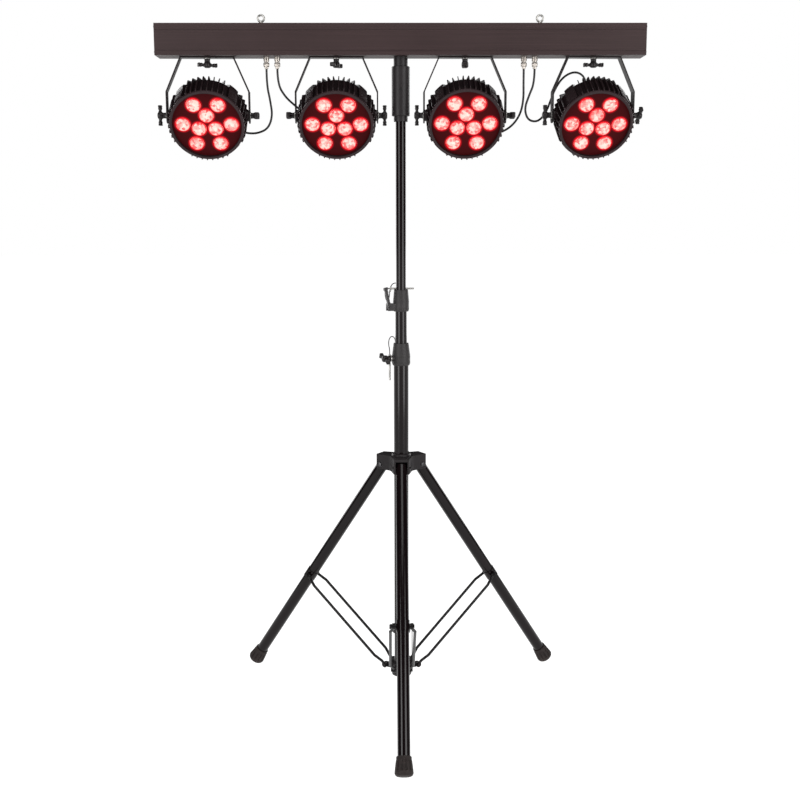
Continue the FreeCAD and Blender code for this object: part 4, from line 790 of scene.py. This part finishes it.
class PARCAN_OT_stage(bpy.types.Operator):
    """Sets up the camera, the soft boxes, the backdrop and the floor"""
    bl_idname = "parcan.stage"
    bl_label = "Stage and camera"

    def add_camera(self):
        data = bpy.data.cameras.new("camera")
        data.sensor_width = 36
        data.lens = CAMERA_LENS
        data.clip_end = 100
        camera = bpy.data.objects.new("camera", data)
        bpy.context.scene.collection.objects.link(camera)
        look = turn("Z", -CAMERA_YAW) @ turn("X", 90 - CAMERA_PITCH) @ turn("Z", -CAMERA_ROLL)
        camera.matrix_world = shift(*CAMERA_PLACE) @ look
        bpy.context.scene.camera = camera

    def add_soft_box(self, name, azimuth, distance, width, height, level, share):
        data = bpy.data.lights.new(name, "AREA")
        data.shape = "RECTANGLE"
        data.size = width
        data.size_y = height
        data.energy = settings().stage.soft_box_power * share
        light = bpy.data.objects.new(name, data)
        bpy.context.scene.collection.objects.link(light)
        spot = turn("Z", azimuth) @ Vector((0, -distance, level))
        light.location = spot
        aim = Vector((0, 0, SOFT_BOX_AIM)) - spot
        light.rotation_euler = aim.to_track_quat("-Z", "Y").to_euler()

    def add_backdrop(self):
        world = bpy.data.worlds.new("studio")
        bpy.context.scene.world = world
        world.use_nodes = True
        tree = world.node_tree
        background = tree.nodes["Background"]
        path = tree.nodes.new("ShaderNodeLightPath")
        ramp = tree.nodes.new("ShaderNodeMix")
        ramp.data_type = "FLOAT"
        seen = 1.0 if settings().stage.background == "WHITE" else 0.4
        ramp.inputs[2].default_value = BACKDROP_LIGHT
        ramp.inputs[3].default_value = seen
        tree.links.new(path.outputs["Is Camera Ray"], ramp.inputs[0])
        tree.links.new(ramp.outputs[0], background.inputs["Strength"])
        background.inputs["Color"].default_value = (1, 1, 1, 1)

    def execute(self, context):
        context.scene.view_settings.view_transform = "Standard"
        self.add_camera()
        for name, values in SOFT_BOXES.items():
            self.add_soft_box(f"soft_box_{name}", *values)
        self.add_backdrop()
        mesh = bmesh.new()
        bmesh.ops.create_grid(mesh, x_segments=2, y_segments=2, size=30)
        bmesh.ops.translate(mesh, vec=(0, 0, CAD_BOX[0][2] - 0.0005), verts=mesh.verts)
        data = bpy.data.meshes.new("floor")
        mesh.to_mesh(data)
        mesh.free()
        data.materials.append(finish("pale floor"))
        floor = bpy.data.objects.new("floor", data)
        context.scene.collection.objects.link(floor)
        return {"FINISHED"}


class PARCAN_OT_leads(bpy.types.Operator):
    """Makes the four leads from the bar to the cans, each in an upper and a lower half"""
    bl_idname = "parcan.leads"
    bl_label = "Can leads"

    def execute(self, context):
        diameter = settings().stand.lead_diameter
        for can, (route, share) in enumerate(zip(LEAD_ROUTES, LEAD_SPLITS), start=1):
            line = line_of(smooth_curve(f"lead_{can}_route", route))
            upper, lower = lead_halves(line, share)
            top = tube_along(f"lead_{can}_upper", upper, diameter / 2, "cable jacket")
            end = tube_along(f"lead_{can}_lower", lower, diameter / 2, "cable jacket")
            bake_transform(top)
            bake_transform(end)
            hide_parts(f"lead_{can}")
            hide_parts(f"lead_{can}")
            for cord, part in ((top, upper), (end, lower)):
                length_of(part)
        return {"FINISHED"}


class PARCAN_OT_lanyards(bpy.types.Operator):
    """Makes the two braided lanyards that keep the locking pins on the mast"""
    bl_idname = "parcan.lanyards"
    bl_label = "Pin lanyards"

    def execute(self, context):
        for end, body, route in (("upper", "upper", UPPER_LANYARD_ROUTE),
                                 ("lower", "base", LOWER_LANYARD_ROUTE)):
            line = line_of(smooth_curve(f"{end}_lanyard_route", route))
            made = tube_along(f"pin_lanyard_{end}", line, LANYARD_DIAMETER / 2, "woven lanyard")
            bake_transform(made)
            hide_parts(f"{end}_lanyard")
            length_of(line)
        return {"FINISHED"}


class PARCAN_OT_lenses(bpy.types.Operator):
    """Makes the lit lenses on the LED boards and coats the plates round them with a painted glow
    from the lenses
    """
    bl_idname = "parcan.lenses"
    bl_label = "Lenses and face plates"

    PROFILE = [(0, 47.6), (5, 47.45), (9.5, 47.0), (13.2, 46.2), (15.4, 45.2), (16.2, 44.2),
               (16.3, 43.2), (16.3, 42.0), (7.0, 23.0), (0, 23.0)]

    def add_lenses(self, can):
        mesh = bmesh.new()
        mesh.verts.layers.float.new("rim")
        for count, reach, first in LENS_RINGS:
            for number in range(count):
                lens = lathe(self.PROFILE, 36)
                rim = lens.verts.layers.float.new("rim")
                for vertex in lens.verts:
                    away = math.hypot(vertex.co.x, vertex.co.y) / LENS_RADIUS
                    vertex[rim] = 1.0 if vertex.co.z < 42.5 * MM else away
                angle = turn("Z", first + 360 / count * number)
                put(mesh, lens, can_frame(can) @ angle @ shift(reach, 0, 0))
        put(mesh, lathe([(0, 23), (74, 23), (74, 21.4), (0, 21.4)], 64), can_frame(can))
        made = piece(f"lenses_{can + 1}", mesh, "lit lens", f"can_{can + 1}")
        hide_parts(f"light_engine_{can + 1}")

    def execute(self, context):
        for can in CANS:
            self.add_lenses(can)
            coat_nodes([f"lens_plate_{can + 1}"], glow_painted_face_plate(can))
        return {"FINISHED"}


class PARCAN_OT_cans(bpy.types.Operator):
    """Finishes the can housings: flank panels, rim lip, rear plate, screws and cable gland"""
    bl_idname = "parcan.cans"
    bl_label = "Can housings"

    def add_flank_panels(self, can):
        """Four raised panels at the diagonals, between the groups of fins."""
        mesh = bmesh.new()
        outline = [(80, 43.5), (86.5, 43.5), (88, 41), (88, -14), (86, -17), (70, -44),
                   (66, -44), (80, -17)]
        for corner in range(4):
            panel = bmesh.new()
            face = panel.faces.new([panel.verts.new((radius * MM, 0, height * MM))
                                    for radius, height in outline])
            bmesh.ops.spin(panel, geom=[face, *face.edges, *face.verts], cent=(0, 0, 0),
                           axis=(0, 0, 1), angle=math.radians(16), steps=6)
            bmesh.ops.remove_doubles(panel, verts=panel.verts, dist=1e-6)
            put(mesh, panel, can_frame(can) @ turn("Z", 37 + 90 * corner))
        piece(f"flank_panels_{can + 1}", mesh, "can coat", f"can_{can + 1}")

    def add_rim(self, can):
        """The rolled lip at the can's mouth, with a tooth at the root of each fin."""
        mesh = bmesh.new()
        lip = [(79, 48), (79.3, 49.4), (80.5, 50.3), (82.5, 50.6), (84.6, 50.1), (85.6, 48.6),
               (85.6, 45.5), (84, 44), (80, 44)]
        put(mesh, lathe(lip, 128, closed=True), can_frame(can))
        for middle in (0, 90, 180, 270):
            for number in range(8):
                angle = turn("Z", middle - 28 + 8 * number)
                put(mesh, block((3.6, 2.6, 5), 0.5),
                    can_frame(can) @ angle @ shift(87 * MM, 0, 46.2 * MM))
        piece(f"rim_{can + 1}", mesh, "rim coat", f"can_{can + 1}")

    def add_rear(self, can):
        """The rear plate's raised ring, its screws and the gland nut."""
        rear = can_frame(can) @ shift(0, 0, -46 * MM) @ turn("X", 180)
        mesh = bmesh.new()
        ring = [(47, 0), (47, 1.6), (48, 2.2), (57, 2.2), (58.5, 1.2), (59, 0)]
        put(mesh, lathe(ring, 72, closed=True), rear)
        for row in range(5):
            put(mesh, block((46, 2.4, 1.8), 0.6), rear @ shift(0, (-26 + 8 * row) * MM, 0.8 * MM))
        piece(f"rear_ring_{can + 1}", mesh, "can coat", f"can_{can + 1}")
        mesh = bmesh.new()
        screw_heads(mesh, 2.6, 1.7, [rear @ turn("Z", 45 + 90 * n) @ shift(52.5 * MM, 0, 2.2 * MM)
                                     for n in range(4)])
        piece(f"rear_screws_{can + 1}", mesh, "black bolt", f"can_{can + 1}")
        mesh = bmesh.new()
        spot = rear @ shift(0, 20 * MM, 0)
        put(mesh, hexagon(16, 5), spot)
        cap = [(7.1, 5), (7.9, 5.4), (7.9, 9.5), (7.1, 13.5), (5.4, 15.0), (2.6, 15.2)]
        put(mesh, lathe(cap, 28), spot)
        piece(f"gland_nut_{can + 1}", mesh, "socket plastic", f"can_{can + 1}")

    def execute(self, context):
        coat_nodes([f"can_housing_{can + 1}" for can in CANS], "can coat")
        for can in CANS:
            self.add_flank_panels(can)
            self.add_rim(can)
            self.add_rear(can)
        return {"FINISHED"}


class PARCAN_OT_yokes(bpy.types.Operator):
    """Coats the bent-strip yokes"""
    bl_idname = "parcan.yokes"
    bl_label = "Yokes"

    def execute(self, context):
        coat_nodes([f"yoke_{can + 1}" for can in CANS], "yoke coat")
        return {"FINISHED"}


class PARCAN_OT_knobs(bpy.types.Operator):
    """Makes the T-handle clamp knobs at every pivot of the yokes and on the stand"""
    bl_idname = "parcan.knobs"
    bl_label = "Clamp knobs"

    def handle(self):
        """The T handle: a bar with a waist each side of the stem and rounded ends."""
        shape = bmesh.new()
        bmesh.ops.create_cube(shape, size=MM)
        bmesh.ops.scale(shape, vec=(46, 13, 11), verts=shape.verts)
        for station in (-19, -15, -11, -7, 0, 7, 11, 15, 19):
            bmesh.ops.bisect_plane(shape, geom=shape.verts[:] + shape.edges[:] + shape.faces[:],
                                   plane_co=(station * MM, 0, 0), plane_no=(1, 0, 0))
        for vertex in shape.verts:
            share = abs(vertex.co.x) / (23 * MM)
            waist = math.sin(min(1.0, share * 1.1) * math.pi) ** 2
            vertex.co.y *= 1.0 - 0.3 * waist
            vertex.co.z *= (1.0 - 0.24 * waist) * (1.0 - 0.14 * share ** 2)
        sharp = [edge for edge in shape.edges if edge.calc_face_angle(0.0) > 0.6]
        bmesh.ops.bevel(shape, geom=sharp, offset=2.2 * MM, affect="EDGES", segments=3,
                        profile=0.5, material=-1)
        return shape

    def add_set(self, name, spots, stud, body):
        stem = [(0, 21.1), (5.4, 21.1), (6.9, 20.3), (7.9, 18.6), (8.1, 15.0), (7.9, 10.6),
                (6.9, 9.0), (6.4, 7.6), (6.6, 3.0), (7.4, 1.6), (0, 1.5)]
        washer = [(0, 1.5), (8.7, 1.5), (9, 1.2), (9, 0.3), (8.7, 0), (4, 0),
                  (4, -stud + 0.6), (3.4, -stud), (0, -stud)]
        grips, metal = bmesh.new(), bmesh.new()
        for spot in spots:
            put(grips, self.handle(), spot @ shift(0, 0, 15 * MM))
            put(grips, lathe(stem, 32), spot)
            put(metal, lathe(washer, 32), spot)
        grip = piece(f"{name}_grip", grips, "knob plastic", body, 40)
        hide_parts(name)
        piece(f"{name}_stud", metal, "zinc plate", body)

    def execute(self, context):
        for can in CANS:
            pan = turn("Z", CAN_AIM[can][0])
            under = shift(PAN_AXES[can], 0, BAR_BOTTOM - 3.3 * MM)
            self.add_set(f"pan_knob_{can + 1}",
                         [under @ turn("Z", PAN_KNOB_TURN[can]) @ turn("X", 180)],
                         12, f"pan_knob_{can + 1}")
            axis = shift(PAN_AXES[can], 0, TILT_HEIGHT) @ pan
            sides = [axis @ shift(side * YOKE_SPAN, 0, 0) @ turn("Y", 90 * side)
                     @ turn("Z", roll)
                     for side, roll in zip((-1, 1), TILT_KNOB_TURN[can])]
            self.add_set(f"tilt_knobs_{can + 1}", sides, 15.5, f"tilt_knobs_{can + 1}")
        self.add_set("hub_knob", [radial_frame(*HUB_KNOB)], 16.0, "hub_knob")
        self.add_set("lower_knob", [radial_frame(*LOWER_KNOB)], 8.5, "lower_knob")
        return {"FINISHED"}


class PARCAN_OT_bar(bpy.types.Operator):
    """Coats the bar and adds its screws, eye bolt nuts and plug rings"""
    bl_idname = "parcan.bar"
    bl_label = "Light bar"

    def execute(self, context):
        coat_nodes(["bar_housing", "end_caps"], "bar coat")
        coat_nodes(["mast_socket"], "cast coat")
        coat_nodes(["eye_bolts"], "zinc plate")
        coat_nodes(["lead_plugs"], "nickel plate")
        coat_nodes(["power_supply"], "bare sheet")
        coat_nodes(["controller_board"], "circuit board")
        mesh = bmesh.new()
        middle = (BAR_BOTTOM + BAR_TOP) / 2
        places = [shift(side * 558.5 * MM, y, middle + z) @ turn("Y", 90 * side)
                  for side in (-1, 1) for y in (-0.026, 0.026) for z in (-0.028, 0.028)]
        screw_heads(mesh, 3.2, 1.6, places)
        piece("end_cap_screws", mesh, "black bolt", "bar")
        mesh = bmesh.new()
        for side in (-1, 1):
            put(mesh, hexagon(11, 3.5), shift(side * 0.319, 0, BAR_TOP + 1.9 * MM))
        piece("eye_bolt_nuts", mesh, "zinc plate", "bar")
        mesh = bmesh.new()
        put(mesh, lathe([(0, 0), (2.7, 0), (2.7, 1.4), (1.4, 1.4), (1.2, 0.4), (0, 0.4)], 20),
            shift(0, -17.5 * MM, 1.472) @ turn("X", 90))
        piece("socket_screw", mesh, "black bolt", "bar")
        self.add_knurls()
        return {"FINISHED"}

    def add_knurls(self):
        """Ribbed coupling rings on the four lead plugs."""
        mesh = bmesh.new()
        profile = [(5.2, 0), (6.4, 0), (6.8, 0.6), (6.8, 8.4), (6.4, 9), (5.2, 9)]
        for reach in (-308.5, -283.5, 283.5, 308.5):
            ring = lathe(profile, 96, closed=True)
            for vertex in ring.verts:
                angle = math.atan2(vertex.co.y, vertex.co.x)
                away = math.hypot(vertex.co.x, vertex.co.y)
                if away > 6.2 * MM and math.cos(angle * 24) < 0:
                    vertex.co.x *= 0.955
                    vertex.co.y *= 0.955
            put(mesh, ring, shift(reach * MM, 0, BAR_BOTTOM - 22 * MM))
        piece("plug_rings", mesh, "nickel plate", "bar")


class PARCAN_OT_panel(bpy.types.Operator):
    """Finishes the rear panel: display digits, keys, socket rings and screws"""
    bl_idname = "parcan.panel"
    bl_label = "Rear panel"

    SEGMENTS = {"0": "abcdef", "1": "bc", "A": "abcefg", "d": "bcdeg"}
    PLACES = {"a": (0, 1, 0), "b": (0.5, 0.5, 90), "c": (0.5, -0.5, 90), "d": (0, -1, 0),
              "e": (-0.5, -0.5, 90), "f": (-0.5, 0.5, 90), "g": (0, 0, 0)}

    def execute(self, context):
        coat_nodes(["control_panel"], "panel coat")
        face = 34.6 * MM
        middle = (BAR_BOTTOM + BAR_TOP) / 2
        out = turn("Z", 180) @ turn("X", 90)
        mesh = bmesh.new()
        put(mesh, block((34, 14.5, 0.5), 0.2), shift(-6 * MM, face - 0.2 * MM, middle) @ out)
        piece("display_window", mesh, "display glass", "bar")
        mesh = bmesh.new()
        for number, digit in enumerate("d001"):
            centre = shift((6 - 8 * number) * MM, face + 0.15 * MM, middle) @ out
            for name in self.SEGMENTS[digit]:
                x, y, roll = self.PLACES[name]
                put(mesh, block((3.4, 0.8, 0.2)),
                    centre @ shift(x * 4.2 * MM, y * 4.2 * MM, 0) @ turn("Z", roll))
        piece("display_digits", mesh, "display digits", "bar")
        mesh = bmesh.new()
        for number in range(4):
            put(mesh, lathe([(0, 1.3), (2.2, 1.2), (2.8, 0.6), (2.9, -0.4), (0, -0.4)], 24),
                shift((-19 + 9 * number) * MM, face, middle - 16 * MM) @ out)
        piece("panel_keys", mesh, "knob plastic", "bar")
        mesh = bmesh.new()
        ring = [(8.7, 0.2), (9.2, 1.2), (11.5, 1.4), (12.4, 0.9), (12.6, -0.2), (8.7, -0.2)]
        for x in (34, 68):
            put(mesh, lathe(ring, 40, closed=True), shift(x * MM, face, middle) @ out)
        piece("socket_rings", mesh, "nickel plate", "bar")
        mesh = bmesh.new()
        corners = [(x, z) for x in (-83, 83) for z in (-21, 21)]
        corners += [(-78, 0), (-38, 0), (22, 13), (46, -13), (56, 13), (80, -13)]
        screw_heads(mesh, 2.2, 1.2,
                    [shift(x * MM, face, middle + z * MM) @ out for x, z in corners])
        piece("panel_screws", mesh, "black bolt", "bar")
        return {"FINISHED"}


class PARCAN_OT_mast(bpy.types.Operator):
    """Coats the mast and adds the collars' beads and the upper pin's ring"""
    bl_idname = "parcan.mast"
    bl_label = "Mast"

    def execute(self, context):
        coat_nodes(["base_tube", "middle_tube", "upper_tube"], "tube enamel")
        coat_nodes(["lower_collar", "upper_collar"], "collar plastic")
        coat_nodes(["upper_lever"], "knob plastic")
        coat_nodes(["upper_pin", "lower_pin"], "zinc plate")
        for name, body, radius, low, high in (
                ("lower", "base", 21.6, 832.5, 856.5), ("upper", "middle", 18.8, 961.5, 987.5)):
            mesh = bmesh.new()
            bead = [(radius - 0.5, -1.0), (radius + 0.35, -0.7), (radius + 0.35, 0.7),
                    (radius - 0.5, 1.0)]
            for height in (low + 7, high - 4):
                put(mesh, lathe(bead, 72, closed=True), shift(0, 0, height * MM))
            piece(f"{name}_collar_beads", mesh, "collar plastic", body)
        mesh = bmesh.new()
        wire = [(4.6 + 0.8 * math.cos(a), 0.8 * math.sin(a))
                for a in [math.tau * n / 10 for n in range(10)]]
        put(mesh, lathe(wire, 32, closed=True),
            shift(-28.4 * MM, 0, (1015.3 - 3.6) * MM) @ turn("X", 90))
        piece("upper_pin_ring", mesh, "zinc plate", "upper_pin")
        return {"FINISHED"}


class PARCAN_OT_tripod(bpy.types.Operator):
    """Coats the tripod and makes its slotted rubber feet, leg bolts and hub ring"""
    bl_idname = "parcan.tripod"
    bl_label = "Tripod"

    def add_foot(self, name, direction):
        """A rubber cup: a flared skirt with upright slots, and a rounded end."""
        side = math.degrees(math.atan(FOOT_SLOPE))
        corner = [math.radians(-90 + (90 + side) * step / 7) for step in range(8)]
        outline = [(0, 0)]
        outline += [(FOOT_CORNER_REACH + FOOT_CORNER * math.cos(a),
                     FOOT_CORNER * (1 + math.sin(a))) for a in corner]
        outline += [(FOOT_END - FOOT_SLOPE * height, height) for height in (11, 13, 31, 33)]
        outline += [(FOOT_MOUTH + 0.3, 34.5), (FOOT_MOUTH + 0.3, 39.5), (FOOT_MOUTH - 0.4, 41.7),
                    (FOOT_MOUTH - 1.2, 42), (14.1, 42), (14.1, 16), (0, 16)]
        slots = settings().stand.foot_slots
        foot = lathe(outline, slots * 8)
        for vertex in foot.verts:
            away = math.hypot(vertex.co.x, vertex.co.y) / MM
            phase = math.atan2(vertex.co.y, vertex.co.x) * slots / math.tau % 1.0
            if 12 * MM < vertex.co.z < 32 * MM and away > 15 and 0.3 < phase < 0.7:
                vertex.co.x *= 1 - FOOT_SLOT_DEPTH / away
                vertex.co.y *= 1 - FOOT_SLOT_DEPTH / away
        mesh = bmesh.new()
        put(mesh, foot, leg_frame(direction) @ shift(0, 0, -foot_distance()))
        made = piece(f"rubber_foot_{name}", mesh, "foot rubber", f"leg_{name}")
        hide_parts(f"foot_{name}")

    def add_bolts(self):
        mesh = bmesh.new()
        shank = [(0, -22), (3.4, -22), (4, -21.4), (4, 21.4), (3.4, 22), (0, 22)]
        for direction in LEG_DIRECTIONS.values():
            across = turn("Z", direction) @ shift(LEG_PIVOT[0], 0, LEG_PIVOT[1])
            put(mesh, lathe(shank, 24), across @ turn("X", 90))
            for side in (-1, 1):
                spot = across @ shift(0, side * 18 * MM, 0) @ turn("X", -90 * side)
                put(mesh, lathe([(0, 0), (6.4, 0), (6.4, 0.8), (0, 0.8)], 28), spot)
                put(mesh, hexagon(10, 3.4), spot @ shift(0, 0, 0.8 * MM))
        made = piece("hub_bolt_set", mesh, "black bolt", "hub")
        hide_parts("hub_bolts")

    def execute(self, context):
        legs = list(LEG_DIRECTIONS)
        coat_nodes(["hub", "strut_bracket"], "cast coat")
        coat_nodes([f"leg_{name}" for name in legs], "tube enamel")
        coat_nodes([f"struts_{name}" for name in legs], "rod coat")
        for name, direction in LEG_DIRECTIONS.items():
            self.add_foot(name, direction)
        self.add_bolts()
        mesh = bmesh.new()
        ring = [(17.9, 612.8), (17.9, 617.2), (18.6, 618), (21, 618), (22.5, 616.8), (24, 612.8)]
        put(mesh, lathe(ring, 72, closed=True))
        piece("hub_collar", mesh, "cast coat", "hub")
        return {"FINISHED"}


class PARCAN_PT_panel(bpy.types.Panel):
    """Lists the steps that build the set"""
    bl_idname = "PARCAN_PT_panel"
    bl_label = "Par Can Light Set"
    bl_space_type = "VIEW_3D"
    bl_region_type = "UI"
    bl_category = "Par Cans"

    def draw(self, context):
        for step in STEPS:
            self.layout.operator(step.bl_idname)
        for group in (settings().cans, settings().stand, settings().stage):
            box = self.layout.box()
            for name in group.__annotations__:
                box.prop(group, name)


STEPS = [
    PARCAN_OT_stage, PARCAN_OT_leads, PARCAN_OT_lanyards, PARCAN_OT_lenses, PARCAN_OT_cans,
    PARCAN_OT_yokes, PARCAN_OT_knobs, PARCAN_OT_bar, PARCAN_OT_panel, PARCAN_OT_mast,
    PARCAN_OT_tripod,
]
CLASSES = [ParCanCans, ParCanStand, ParCanStage, ParCanSettings, *STEPS, PARCAN_PT_panel]


def register():
    for item in CLASSES:
        bpy.utils.register_class(item)
    bpy.types.Scene.par_can_light = PointerProperty(
        type=ParCanSettings, name="Par can light", description="Settings of the set")


def unregister():
    del bpy.types.Scene.par_can_light
    for item in reversed(CLASSES):
        bpy.utils.unregister_class(item)


def main():
    register()
    for step in STEPS:
        group, name = step.bl_idname.split(".")
        getattr(getattr(bpy.ops, group), name)()
    bpy.context.view_layer.update()


if __name__ == "__main__":
    main()
